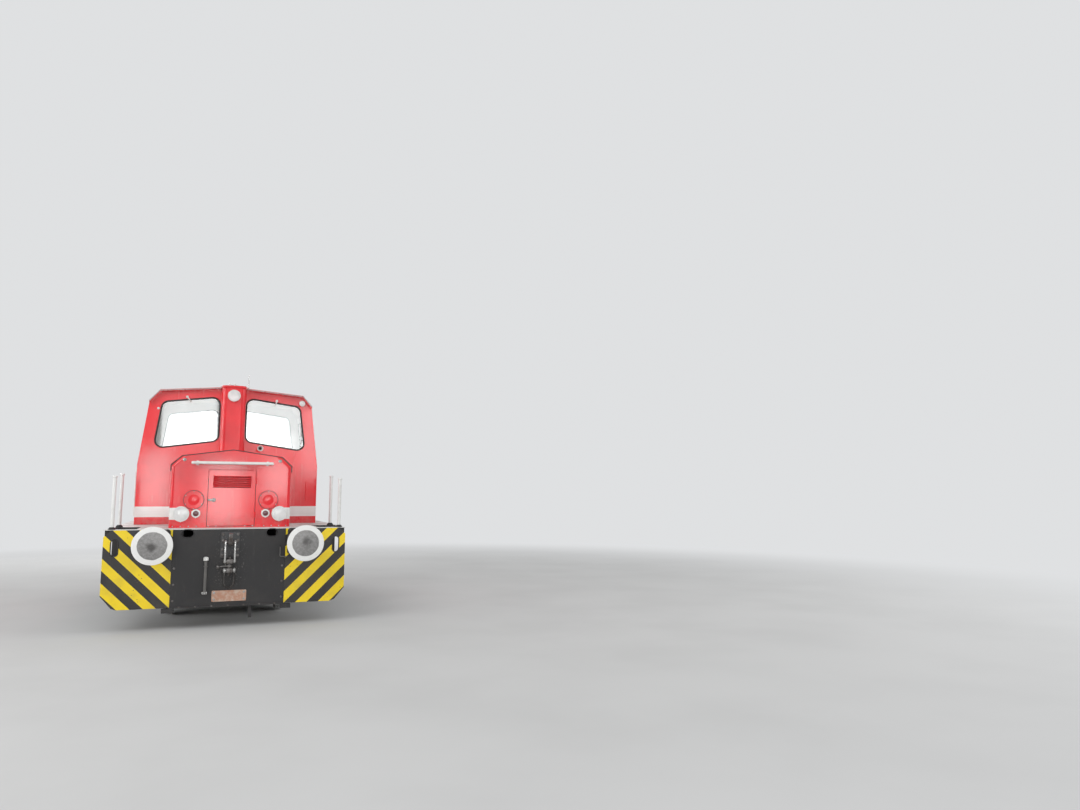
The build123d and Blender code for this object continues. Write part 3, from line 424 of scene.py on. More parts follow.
@dataclass(frozen=True)
class FramePaint:
    """Satin charcoal paint with dust, scuffs and oily patches."""

    name: str = "frame_charcoal"
    colour: Colour = (0.020, 0.019, 0.020)
    worn: Colour = (0.062, 0.058, 0.056)
    rust: Colour = (0.16, 0.085, 0.05)
    struck: Colour = (0.34, 0.32, 0.30)
    beam_y: float = 2.84

    def build(self) -> bpy.types.Material:
        """Make the material."""
        shader = Shader(self.name)
        scuffs = shader.noise(22.0, 6.0, (1.0, 1.0, 0.18), 0.65).ramp(0.55, 0.72)
        patches = shader.noise(2.4, 6.0).ramp(0.42, 0.68)
        flecks = shader.cells(34.0).ramp(0.16, 0.05) * shader.noise(5.0).ramp(0.5, 0.68)
        colour = shader.mix(patches * 0.45 + scuffs * 0.35, self.colour, self.worn)
        colour = shader.mix(flecks * 0.8, colour, self.rust)
        x, y, z = shader.axes()
        below_hook = abs(x).ramp(0.26, 0.08) * (abs(y) > self.beam_y) * z.ramp(0.45, 0.62)
        chips = below_hook * shader.noise(55.0, 4.0, roughness=0.7).ramp(0.60, 0.67)
        colour = shader.mix(chips * 0.65, colour, self.struck)
        height = shader.noise(90.0, 5.0) * 0.35 + scuffs * 0.25 - flecks * 0.5
        return shader.dress(Base_Color=colour, Roughness=0.42 + patches * 0.22 + flecks * 0.2,
                            Specular_IOR_Level=0.5, Normal=shader.bump(height, 0.0012, edge=0.003))


@dataclass(frozen=True)
class HazardPaint:
    """Yellow plates with black diagonal stripes that fall outwards."""

    name: str = "hazard_stripes"
    yellow: Colour = (0.93, 0.68, 0.005)
    black: Colour = (0.022, 0.020, 0.019)
    grime: Colour = (0.13, 0.11, 0.09)
    rust: Colour = (0.12, 0.07, 0.05)
    period: float = 0.2925
    start: float = 0.112

    def build(self) -> bpy.types.Material:
        """Make the material."""
        shader = Shader(self.name)
        x, _, z = shader.axes()
        across = (z - abs(x) + self.start) % self.period
        stripe = across / self.period < 0.5
        colour = shader.mix(stripe, self.black, self.yellow)
        chips = shader.cells(26.0).ramp(0.2, 0.08) * shader.noise(4.0, 5.0).ramp(0.5, 0.66)
        grime = shader.noise(5.0, 6.0).ramp(0.42, 0.8) * z.ramp(1.2, 0.3)
        colour = shader.mix(grime * 0.35, colour, self.grime)
        colour = shader.mix(chips * 0.9, colour, self.rust)
        height = shader.noise(120.0, 3.0) * 0.2 - chips * 0.7
        return shader.dress(Base_Color=colour, Roughness=0.34 + grime * 0.3 + chips * 0.3, Coat_Weight=0.12,
                            Coat_Roughness=0.25, Normal=shader.bump(height, 0.0009, edge=0.003))


@dataclass(frozen=True)
class BufferSteel:
    """A bare, rubbed buffer disc inside a white painted ring."""

    name: str = "buffer_face"
    centre_x: float = 0.875
    centre_z: float = 1.078
    disc_r: float = 0.163
    front_y: float = 3.436
    white: Colour = (0.84, 0.84, 0.82)
    steel: Colour = (0.23, 0.225, 0.22)
    rubbed: Colour = (0.36, 0.355, 0.35)
    grease: Colour = (0.05, 0.047, 0.045)
    soiled: Colour = (0.35, 0.33, 0.31)

    def build(self) -> bpy.types.Material:
        """Make the material."""
        shader = Shader(self.name)
        x, y, z = shader.axes()
        out = ((abs(x) - self.centre_x) ** 2.0 + (z - self.centre_z) ** 2.0) ** 0.5
        wobble = out + (shader.noise(18.0, 4.0) - 0.5) * 0.012
        bare = wobble.ramp(self.disc_r + 0.003, self.disc_r - 0.003)
        rubbed = shader.noise(30.0, 6.0, roughness=0.7).ramp(0.35, 0.7)
        smear = (shader.noise(9.0, 4.0) * 0.6 + out * 3.0).ramp(0.55, 0.3)
        metal = shader.mix(rubbed, self.steel, self.rubbed)
        metal = shader.mix(smear * 0.75, metal, self.grease)
        ring = shader.mix(shader.noise(24.0, 5.0).ramp(0.55, 0.85) * 0.35, self.white, self.soiled)
        colour = shader.mix(bare, ring, metal)
        face = abs(y) > self.front_y
        colour = shader.mix(face, self.grease, colour)
        scratches = shader.noise(60.0, 5.0, (1.0, 1.0, 0.2)) * bare
        return shader.dress(Base_Color=colour, Metallic=bare * face * 0.75, Roughness=0.34 + rubbed * 0.22,
                            Normal=shader.bump(scratches * 0.5 + rubbed * 0.3, 0.0010))


@dataclass(frozen=True)
class Metal:
    """Bare or oiled metal with worn patches."""

    name: str
    colour: Colour
    patch: Colour
    roughness: float = 0.38
    metallic: float = 0.85
    grain: float = 40.0
    depth: float = 0.0010

    def build(self) -> bpy.types.Material:
        """Make the material."""
        shader = Shader(self.name)
        patches = shader.noise(self.grain * 0.35, 6.0, roughness=0.65).ramp(0.4, 0.68)
        fine = shader.noise(self.grain * 6.0, 4.0)
        colour = shader.mix(patches, self.colour, self.patch)
        return shader.dress(Base_Color=colour, Metallic=self.metallic * (1.0 - patches * 0.35),
                            Roughness=self.roughness + patches * 0.22,
                            Normal=shader.bump(fine * 0.5 + patches * 0.4, self.depth, edge=0.002))


@dataclass(frozen=True)
class WheelSteel:
    """Grimy wheels with a bright rolling tread."""

    name: str = "wheel_steel"
    axle_y: float = 1.25
    axle_z: float = 0.503
    tread_r: float = 0.4735
    grime: Colour = (0.055, 0.047, 0.042)
    rust: Colour = (0.13, 0.07, 0.045)
    oil: Colour = (0.02, 0.018, 0.017)
    bright: Colour = (0.5, 0.5, 0.49)

    def build(self) -> bpy.types.Material:
        """Make the material."""
        shader = Shader(self.name)
        _, y, z = shader.axes()
        out = ((abs(y) - self.axle_y) ** 2.0 + (z - self.axle_z) ** 2.0) ** 0.5
        tread = out > self.tread_r
        patches = shader.noise(12.0, 6.0, roughness=0.65).ramp(0.4, 0.7)
        oil = (shader.noise(6.0, 4.0) * 0.5 + out * 0.9).ramp(0.62, 0.4)
        colour = shader.mix(patches * 0.6, self.grime, self.rust)
        colour = shader.mix(oil * 0.7, colour, self.oil)
        colour = shader.mix(tread, colour, self.bright)
        height = shader.noise(150.0, 4.0) * 0.4 + patches * 0.5
        return shader.dress(Base_Color=colour, Metallic=tread * 0.9,
                            Roughness=0.52 - oil * 0.25 - tread * 0.2,
                            Normal=shader.bump(height, 0.0012, edge=0.004))


@dataclass(frozen=True)
class DeckPaint:
    """Pale worn paint on the footplate's top, a white edge, and charcoal below."""

    name: str = "footplate"
    half_width: float = 1.447
    half_length: float = 2.842
    top_z: float = 1.2505
    pale: Colour = (0.74, 0.74, 0.72)
    bare: Colour = (0.40, 0.39, 0.375)
    charcoal: Colour = (0.036, 0.034, 0.036)
    dust: Colour = (0.10, 0.09, 0.085)
    edge: Colour = (0.72, 0.72, 0.70)
    edge_z: float = 1.2425

    def build(self) -> bpy.types.Material:
        """Make the material."""
        shader = Shader(self.name)
        x, y, z = shader.axes()
        worn = shader.noise(3.0, 7.0, roughness=0.62).ramp(0.42, 0.62)
        scuff = shader.noise(26.0, 5.0, (1.0, 0.25, 1.0)).ramp(0.5, 0.74)
        top = shader.mix(worn * 0.7 + scuff * 0.25, self.pale, self.bare)
        under = shader.mix(worn * 0.5, self.charcoal, self.dust)
        edge = (abs(x) > self.half_width).either(abs(y) > self.half_length) * (z > self.edge_z)
        colour = shader.mix(z > self.top_z, under, top)
        colour = shader.mix(edge, colour, self.edge)
        tread = shader.cells(60.0, (1.0, 0.5, 1.0)).ramp(0.35, 0.2) * (z > self.top_z)
        return shader.dress(Base_Color=colour, Roughness=0.5 + worn * 0.2,
                            Normal=shader.bump(tread * 0.6 + scuff * 0.3, 0.0012, edge=0.002))


@dataclass(frozen=True)
class WindowGlass:
    """Clear pane that turns more reflective at a glance."""

    name: str = "window_glass"
    tint: Colour = (0.90, 0.93, 0.93)

    def build(self) -> bpy.types.Material:
        """Make the material."""
        shader = Shader(self.name)
        facing = Signal(shader, shader.node("ShaderNodeLayerWeight", {}, {"Blend": 0.35}).outputs["Facing"])
        smears = shader.noise(5.0, 4.0, (1.0, 1.0, 0.4)).ramp(0.5, 0.85)
        return shader.dress(Base_Color=self.tint, Roughness=0.03 + smears * 0.06, Metallic=1.0,
                            Alpha=0.12 + facing * 0.5 + smears * 0.05)


@dataclass(frozen=True)
class LampGlass:
    """A fluted lamp lens."""

    name: str
    colour: Colour
    roughness: float = 0.12

    def build(self) -> bpy.types.Material:
        """Make the material."""
        shader = Shader(self.name)
        x, _, _ = shader.axes()
        flutes = abs((x % 0.012) / 0.006 - 1.0)
        haze = shader.noise(12.0, 4.0).ramp(0.4, 0.8)
        deep = tuple(channel * 0.72 for channel in self.colour)
        return shader.dress(Base_Color=shader.mix(haze * 0.7, self.colour, deep),
                            Roughness=self.roughness + haze * 0.1, Coat_Weight=1.0, Coat_Roughness=0.03,
                            Normal=shader.bump(flutes, 0.0012))


@dataclass(frozen=True)
class Enamel:
    """Plain enamel, rubber or plastic in one colour with wear."""

    name: str
    colour: Colour
    wear: Colour
    roughness: float = 0.4
    coat: float = 0.0
    grain: float = 60.0
    depth: float = 0.0008
    amount: float = 0.45

    def build(self) -> bpy.types.Material:
        """Make the material."""
        shader = Shader(self.name)
        patches = shader.noise(self.grain * 0.15, 6.0).ramp(0.45, 0.75)
        fine = shader.noise(self.grain * 3.0, 3.0)
        colour = shader.mix(patches * self.amount, self.colour, self.wear)
        return shader.dress(Base_Color=colour, Roughness=self.roughness + patches * 0.18,
                            Coat_Weight=self.coat, Coat_Roughness=0.1,
                            Normal=shader.bump(fine * 0.6 + patches * 0.3, self.depth, edge=0.002))


@dataclass(frozen=True)
class Leather:
    """Grained black seat cover."""

    name: str = "seat_leather"
    colour: Colour = (0.028, 0.027, 0.027)
    crease: Colour = (0.07, 0.066, 0.062)

    def build(self) -> bpy.types.Material:
        """Make the material."""
        shader = Shader(self.name)
        pebbles = shader.cells(240.0)
        wrinkles = shader.noise(26.0, 5.0).ramp(0.5, 0.7)
        colour = shader.mix(wrinkles * 0.6, self.colour, self.crease)
        return shader.dress(Base_Color=colour, Roughness=0.42 + wrinkles * 0.15,
                            Normal=shader.bump(pebbles * 0.5 + wrinkles * 0.5, 0.0012))


@dataclass
class Finishes:
    """Every finish of the locomotive, made once."""

    materials: dict[str, bpy.types.Material] = field(default_factory=dict)

    def __post_init__(self) -> None:
        """Build the list."""
        band = Band()
        finishes = (
            GlossPaint("body_red", band=band),
            GlossPaint("cab_red", band=band, lining=(0.76, 0.76, 0.72)),
            GlossPaint("plain_red"),
            FramePaint(),
            FramePaint("scuffed_plate", (0.05, 0.05, 0.052), (0.20, 0.19, 0.185)),
            HazardPaint(), BufferSteel(), WheelSteel(), DeckPaint(), WindowGlass(), Leather(),
            Metal("worn_steel", (0.20, 0.19, 0.185), (0.075, 0.06, 0.052)),
            Metal("oiled_steel", (0.09, 0.085, 0.082), (0.035, 0.031, 0.03), roughness=0.28),
            Metal("bright_steel", (0.52, 0.52, 0.51), (0.36, 0.35, 0.34), roughness=0.24, grain=60.0,
                  depth=0.0004),
            Metal("brass", (0.55, 0.38, 0.12), (0.28, 0.2, 0.09), roughness=0.3),
            Metal("rusty_plate", (0.54, 0.29, 0.20), (0.66, 0.52, 0.42), roughness=0.55, metallic=0.25),
            Enamel("white_enamel", (0.80, 0.80, 0.78), (0.52, 0.50, 0.47), 0.3, coat=0.5),
            Enamel("rubber", (0.022, 0.022, 0.023), (0.05, 0.048, 0.046), 0.6),
            Enamel("pipe_grey", (0.13, 0.125, 0.12), (0.24, 0.23, 0.22), 0.55),
            Enamel("engine_grey", (0.16, 0.18, 0.18), (0.06, 0.055, 0.05), 0.5),
            Enamel("desk_grey", (0.24, 0.26, 0.25), (0.13, 0.13, 0.12), 0.45),
            Enamel("black_plastic", (0.02, 0.02, 0.021), (0.05, 0.05, 0.05), 0.35),
            LampGlass("clear_lens", (0.80, 0.81, 0.80)),
            LampGlass("red_lens", (0.11, 0.003, 0.008)),
        )
        for finish in finishes:
            self.materials[finish.name] = finish.build()
            log.info("finish %s", finish.name)

    def __getitem__(self, name: str) -> bpy.types.Material:
        """The material of that name."""
        return self.materials[name]


def row(start: float, pitch: float, count: int) -> list[float]:
    """Evenly spaced stations."""
    return [start + pitch * step for step in range(count)]


def half_turn(steps: int) -> list[float]:
    """Angles from nothing to half a turn."""
    return [math.pi * step / steps for step in range(steps + 1)]


def whole_turn(steps: int) -> list[float]:
    """Angles all the way round."""
    return [math.tau * step / steps for step in range(steps)]


def circle(centre: Point, radius: float, turns: Sequence[float]) -> list[Point]:
    """Points round a centre, in a plane that faces along the locomotive."""
    x, y, z = centre
    return [(x + math.cos(turn) * radius, y, z + math.sin(turn) * radius) for turn in turns]


def rounded(corners: Profile, radius: float, steps: int = 8) -> list[Pair]:
    """Round the corners of a closed outline.

    Args:
        corners: The outline's corners in order.
        radius: Radius of every corner.
        steps: Chords in each corner.

    Returns:
        The points of the rounded outline.
    """
    made: list[Pair] = []
    count = len(corners)
    for index, corner in enumerate(corners):
        here = Vector(corner)
        back = (Vector(corners[index - 1]) - here).normalized()
        ahead = (Vector(corners[(index + 1) % count]) - here).normalized()
        half = back.angle(ahead) / 2
        centre = here + (back + ahead).normalized() * (radius / math.sin(half))
        start = (here + back * (radius / math.tan(half))) - centre
        sweep = -start.angle_signed(here + ahead * (radius / math.tan(half)) - centre)
        for step in range(steps + 1):
            turn = sweep * step / steps
            made.append((centre.x + start.x * math.cos(turn) - start.y * math.sin(turn),
                         centre.y + start.x * math.sin(turn) + start.y * math.cos(turn)))
    return made


def arc_path(corners: Sequence[Point], radius: float, steps: int = 6) -> list[Vector]:
    """Round the inner corners of an open path in space.

    Args:
        corners: The path's corners in order.
        radius: Radius of every bend.
        steps: Chords in each bend.

    Returns:
        The points of the rounded path.
    """
    made = [Vector(corners[0])]
    for before, corner, after in zip(corners, corners[1:], corners[2:]):
        here = Vector(corner)
        back, ahead = (Vector(before) - here).normalized(), (Vector(after) - here).normalized()
        half = back.angle(ahead) / 2
        centre = here + (back + ahead).normalized() * (radius / math.sin(half))
        start = here + back * (radius / math.tan(half)) - centre
        turn = math.pi - 2 * half
        axis = ahead.cross(back).normalized()
        made.extend(centre + Matrix.Rotation(turn * step / steps, 3, axis) @ start
                    for step in range(steps + 1))
    made.append(Vector(corners[-1]))
    return made


@dataclass
class Piece:
    """One dressed piece: a mesh built up from turned, pressed and bent forms."""

    name: str
    material: bpy.types.Material
    slot: Slot
    body: Body = Body.CHASSIS
    mesh: bmesh.types.BMesh = field(default_factory=bmesh.new)

    def box(self, centre: Point, size: Point, bevel: float = 0.003, turn: Matrix | None = None) -> None:
        """Add a block with rounded edges.

        Args:
            centre: Its middle.
            size: Its three sides.
            bevel: Radius of the edges.
            turn: Rotation about its middle.
        """
        made = bmesh.ops.create_cube(self.mesh, size=1.0)["verts"]
        bmesh.ops.scale(self.mesh, vec=size, verts=made)
        if bevel:
            edges = list(dict.fromkeys(edge for vert in made for edge in vert.link_edges))
            made = bmesh.ops.bevel(self.mesh, geom=edges, offset=min(bevel, min(size) * 0.45), segments=2,
                                   profile=0.7, affect="EDGES")["verts"]
        where = Matrix.Translation(centre) @ (turn or Matrix()).to_4x4()
        bmesh.ops.transform(self.mesh, matrix=where, verts=made)

    def loops(self, rings: Sequence[Sequence[Vector]], closed: bool = False, capped: bool = True) -> None:
        """Skin a run of rings that have as many points each.

        Args:
            rings: The rings in order.
            closed: Whether the last ring joins the first.
            capped: Whether the ends of an open run are filled.
        """
        rows = [[self.mesh.verts.new(point) for point in ring] for ring in rings]
        pairs = list(zip(rows, rows[1:])) + ([(rows[-1], rows[0])] if closed else [])
        for low, high in pairs:
            for index in range(len(low)):
                after = (index + 1) % len(low)
                self.mesh.faces.new((low[index], low[after], high[after], high[index]))
        if capped and not closed:
            self.mesh.faces.new(list(reversed(rows[0])))
            self.mesh.faces.new(rows[-1])

    def lathe(self, centre: Point, axis: Point, profile: Profile, sides: int) -> None:
        """Turn a profile about an axis.

        Args:
            centre: Where distance along the axis is 0.
            axis: Direction of the axis.
            profile: Distance along the axis and radius of each ring.
            sides: Facets round the axis.
        """
        line = Vector(axis).normalized()
        across = line.orthogonal().normalized()
        up = line.cross(across)
        self.loops([[Vector(centre) + line * along + (across * math.cos(turn) + up * math.sin(turn)) * radius
                     for turn in whole_turn(sides)] for along, radius in profile])

    def tube(self, path: Sequence[Vector | Point], radius: float, sides: int = 14, closed: bool = False,
             flat: float = 1.0, normal: Point | None = None) -> None:
        """Sweep a round or flattened section along a path.

        Args:
            path: Points of the centre line.
            radius: Radius across the path.
            sides: Facets round the section.
            closed: Whether the path is a loop.
            flat: Height of the section along normal, as a share of its width.
            normal: Direction that the section is measured against; needed for a flat or looped section.
        """
        points = [Vector(point) for point in path]
        rings = []
        frame_up = Vector(normal) if normal else None
        across: Vector | None = None
        for index, point in enumerate(points):
            before = points[index - 1] if closed or index else point
            after = points[(index + 1) % len(points)] if closed or index < len(points) - 1 else point
            along = (after - before).normalized()
            if frame_up is not None:
                across = along.cross(frame_up).normalized()
            else:
                across = along.orthogonal().normalized() if across is None else (
                    across - along * across.dot(along)).normalized()
            up = across.cross(along)
            stretch = 1.0
            if 0 < index < len(points) - 1 or closed:
                bend = (point - before).normalized().dot((after - point).normalized())
                stretch = 1.0 / max(math.sqrt(max((1 + bend) / 2, 0.25)), 0.5)
            rings.append([point + across * (math.cos(turn) * radius * stretch)
                          + up * (math.sin(turn) * radius * flat) for turn in whole_turn(sides)])
        self.loops(rings, closed=closed)

    def plate(self, outline: Sequence[Point], depth: Point, bevel: float = 0.002) -> None:
        """Press a flat outline through a depth.

        Args:
            outline: The corners in order, in one plane.
            depth: Direction and thickness.
            bevel: Radius of the edges.
        """
        verts = [self.mesh.verts.new(point) for point in outline]
        face = self.mesh.faces.new(verts)
        made = bmesh.ops.extrude_face_region(self.mesh, geom=[face])["geom"]
        moved = [item for item in made if isinstance(item, bmesh.types.BMVert)]
        bmesh.ops.translate(self.mesh, vec=depth, verts=moved)
        if bevel:
            rim = [edge for vert in (*verts, *moved) for edge in vert.link_edges
                   if len(edge.link_faces) == 2 and edge.calc_face_angle(0.0) > 0.9]
            bmesh.ops.bevel(self.mesh, geom=list(dict.fromkeys(rim)), offset=bevel, segments=2, profile=0.7,
                            affect="EDGES")

    def bolt(self, centre: Point, axis: Point, size: float = 0.012) -> None:
        """Add a hexagon head on its washer.

        Args:
            centre: Where the washer meets the surface.
            axis: Direction out of the surface.
            size: Radius across the head's corners.
        """
        washer = [(0.0, size * 1.35), (size * 0.2, size * 1.35), (size * 0.25, size * 1.25)]
        self.lathe(centre, axis, washer, 20)
        self.lathe(centre, axis, [(size * 0.2, size), (size * 0.85, size), (size * 1.0, size * 0.86)], 6)

    def pad(self, where: Matrix, size: Point, pull: float = 0.035, steps: int = 24) -> None:
        """Add the slack shape of a cushion, whose sides pull in between its corners.

        Args:
            where: Its place and turn.
            size: Width, depth and thickness.
            pull: How far the sides pull in, as a share of the width.
            steps: Cells along each side.
        """
        def at(row: int, column: int, face: float) -> Vector:
            u, v = 2 * column / steps - 1, 2 * row / steps - 1
            rise = ((1 - abs(u) ** 5) * (1 - abs(v) ** 5)) ** 0.42
            return where @ Vector((size[0] / 2 * u * (1 - pull * (1 - v * v)),
                                   size[1] / 2 * v * (1 - pull * (1 - u * u)), size[2] / 2 * face * rise))

        rim = range(steps + 1)
        edge = {(row, column): self.mesh.verts.new(at(row, column, 0.0))
                for row in rim for column in rim if row in (0, steps) or column in (0, steps)}
        for face in (1.0, -1.0):
            grid = {(row, column): edge.get((row, column)) or self.mesh.verts.new(at(row, column, face))
                    for row in rim for column in rim}
            for row in range(steps):
                for column in range(steps):
                    self.mesh.faces.new((grid[row, column], grid[row, column + 1], grid[row + 1, column + 1],
                                         grid[row + 1, column]))

    def knob(self, centre: Point, radius: float, sides: int = 20) -> None:
        """Add a ball.

        Args:
            centre: Its middle.
            radius: Its radius.
            sides: Facets round it.
        """
        bmesh.ops.create_uvsphere(self.mesh, u_segments=sides, v_segments=sides // 2, radius=radius,
                                  matrix=Matrix.Translation(centre))

    def finish(self, *nodes: str) -> bpy.types.Object:
        """Turn the mesh into an object that rides on its body.

        Args:
            nodes: CAD nodes that it stands for.

        Returns:
            The finished object.
        """
        bmesh.ops.recalc_face_normals(self.mesh, faces=self.mesh.faces)
        data = bpy.data.meshes.new(self.name)
        self.mesh.to_mesh(data)
        self.mesh.free()
        data.materials.append(self.material)
        data.shade_smooth()
        data.set_sharp_from_angle(angle=SHARP)
        made = bpy.data.objects.new(self.name, data)
        bpy.context.scene.collection.objects.link(made)
        if nodes:
            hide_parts(*nodes)
        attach(made, self.body.value)
        log.info("piece %s: %d faces", self.name, len(data.polygons))
        return made


def evaluated(made: bpy.types.Object) -> bpy.types.Mesh:
    """The object's mesh with its modifiers applied."""
    graph = bpy.context.evaluated_depsgraph_get()
    return bpy.data.meshes.new_from_object(made.evaluated_get(graph), depsgraph=graph)


@dataclass(frozen=True)
class Upholstery:
    """Fills a slack cushion by cloth simulation and sews its channels."""

    voxel: float = 0.009
    pressure: float = 4.0
    frames: int = 20
    cap: float = 0.007
    channel_half: float = 0.016
    channel_depth: float = 0.010
    seam_steps: int = 96

    def settle(self, made: bpy.types.Object, kind: str, settings: Mapping[str, object]) -> None:
        """Apply one modifier to the object's mesh."""
        modifier = made.modifiers.new(kind.lower(), kind)
        for key, value in settings.items():
            setattr(modifier, key, value)
        done, old = evaluated(made), made.data
        made.modifiers.clear()
        made.data = done
        bpy.data.meshes.remove(old)

    def swell(self, made: bpy.types.Object) -> None:
        """Let the cloth fill under pressure, with no point moved further than the cap."""
        cloth = made.modifiers.new("cloth", "CLOTH")
        cloth.settings.use_pressure = True
        cloth.settings.uniform_pressure_force = self.pressure
        cloth.settings.effector_weights.gravity = 0.0
        cloth.point_cache.frame_start, cloth.point_cache.frame_end = 1, self.frames
        for frame in range(1, self.frames + 1):
            bpy.context.scene.frame_set(frame)
        filled = evaluated(made)
        made.modifiers.clear()
        for slack, full in zip(made.data.vertices, filled.vertices):
            move = full.co - slack.co
            slack.co += move * min(1.0, self.cap / max(move.length, 1e-9))
        bpy.data.meshes.remove(filled)
        bpy.context.scene.frame_set(1)

    def fill(self, made: bpy.types.Object, where: Matrix, size: Point,
             channels: Sequence[float]) -> list[Vector]:
        """Fill a cushion and sew it.

        Args:
            made: The slack cushion.
            where: Its place and turn.
            size: Width, depth and thickness.
            channels: Where sewn channels cross its width, from -1 to 1.

        Returns:
            The seam round its edge.
        """
        self.settle(made, "REMESH", {"mode": "VOXEL", "voxel_size": self.voxel})
        self.swell(made)
        self.settle(made, "SUBSURF", {"levels": 1, "render_levels": 1})
        back = where.inverted()
        for vertex in made.data.vertices:
            local = back @ vertex.co
            if local.z > 0:
                reach = max(0.0, 1 - abs(2 * local.x / size[0]) ** 8) * min(1.0, local.z / (size[2] * 0.25))
                local.z -= self.channel_depth * reach * sum(
                    math.exp(-((local.y - channel * size[1] / 2) / self.channel_half) ** 2)
                    for channel in channels)
                vertex.co = where @ local
        made.data.shade_smooth()
        tree = BVHTree.FromPolygons([vertex.co for vertex in made.data.vertices],
                                    [polygon.vertices for polygon in made.data.polygons])
        spin = where.to_3x3()
        rays = (spin @ Vector((math.cos(turn) * size[0], math.sin(turn) * size[1], 0.0))
                for turn in whole_turn(self.seam_steps))
        hits = (tree.ray_cast(where.translation, ray)[0] for ray in rays)
        return [hit for hit in hits if hit is not None]


@dataclass
class Carried:
    """CAD nodes that keep their shape and get a finish."""

    finishes: Finishes
    nodes: Mapping[str, bpy.types.Object]
    table: tuple[tuple[str, str], ...] = (
        ("body_red", "front_hood rear_hood front_hood_door rear_hood_door front_hood_door_left "
                     "front_hood_door_right rear_hood_door_left rear_hood_door_right"),
        ("cab_red", "cab_front_wall cab_rear_wall cab_left_wall cab_right_wall cab_door_left cab_door_right "
                    "cab_roof"),
        ("plain_red", "exhaust_stack"),
        ("frame_charcoal", "main_frame front_beam rear_beam brake_gear axle_boxes tanks corner_steps "
                           "cab_ladders transmission_case"),
        ("hazard_stripes", "corner_plates"),
        ("footplate", "deck"),
        ("wheel_steel", "front_wheels rear_wheels front_axle rear_axle"),
        ("oiled_steel", "coupling_rod_left coupling_rod_right jackshaft"),
        ("window_glass", "cab_glass cab_door_glass_left cab_door_glass_right"),
        ("engine_grey", "engine_block"),
        ("desk_grey", "control_desk"),
    )

    def build(self) -> None:
        """Assign the finishes."""
        for finish, names in self.table:
            for name in names.split():
                data = self.nodes[name].data
                data.materials.clear()
                data.materials.append(self.finishes[finish])
                log.info("node %s: %s", name, finish)


@dataclass
class Assembly:
    """A sub-assembly that makes its own pieces, with the stations that several share."""

    finishes: Finishes
    beam_y: float = 2.85
    hood_y: float = 2.52
    cab_y: float = 0.97
    deck_z: float = 1.253
    hood_ridge_z: float = 2.278
    cab_ridge_z: float = 3.328

    def piece(self, name: str, finish: str, slot: Slot, body: Body = Body.CHASSIS) -> Piece:
        """Start a piece.

        Args:
            name: The piece's name.
            finish: Which finish it wears.
            slot: Its material slot.
            body: The body that it rides on.

        Returns:
            The empty piece.
        """
        return Piece(name, self.finishes[finish], slot, body)


@dataclass
class Buffers(Assembly):
    """Four round buffers with domed heads."""

    centre_x: float = 0.875
    centre_z: float = 1.078
    face_y: float = 3.47
    head_r: float = 0.225
    plunger_r: float = 0.088
    flange: float = 0.34
    flange_t: float = 0.02
    flange_corner_r: float = 0.035
    bolt_out: float = 0.135
    bolt_r: float = 0.017
    housing: Profile = ((0.0, 0.128), (0.045, 0.128), (0.062, 0.116), (0.285, 0.112), (0.292, 0.118),
                        (0.335, 0.118), (0.341, 0.112), (0.341, 0.092), (0.30, 0.09))

    def head_profile(self) -> list[Pair]:
        """The plunger and the head, out from the beam."""
        face = self.face_y - self.beam_y
        dome = [(face - 0.017 * share * share, max(self.head_r * share - 0.004, 0.0005))
                for share in (1.0, 0.92, 0.8, 0.65, 0.5, 0.35, 0.2, 0.08, 0.0)]
        return [(0.30, self.plunger_r), (face - 0.062, self.plunger_r), (face - 0.052, 0.10),
                (face - 0.044, 0.15), (face - 0.036, self.head_r - 0.012),
                (face - 0.031, self.head_r - 0.003), (face - 0.026, self.head_r),
                (face - 0.0205, self.head_r), *dome]

    def build(self) -> None:
        """Make heads, housings and flanges."""
        heads = self.piece("buffer_heads", "buffer_face", Slot.BUFFER)
        housings = self.piece("buffer_housings", "frame_charcoal", Slot.FRAME)
        bolts = self.piece("buffer_bolts", "oiled_steel", Slot.WORN)
        corners = [(x * self.flange / 2, z * self.flange / 2) for x, z in SQUARE]
        flange = rounded(corners, self.flange_corner_r, 5)
        for end, side in CORNERS:
            x, y, z = centre = side.at(self.centre_x, end.value * self.beam_y, self.centre_z)
            heads.lathe(centre, end.out, self.head_profile(), 96)
            housings.lathe(centre, end.out, self.housing, 72)
            housings.plate([(x + a, y, z + b) for a, b in flange], end.at(0.0, self.flange_t, 0.0))
            for a, b in SQUARE:
                place = end.at(x + a * self.bolt_out, self.beam_y + self.flange_t, z + b * self.bolt_out)
                bolts.bolt(place, end.out, self.bolt_r)
        heads.finish("buffers")
        housings.finish("buffers")
        bolts.finish()


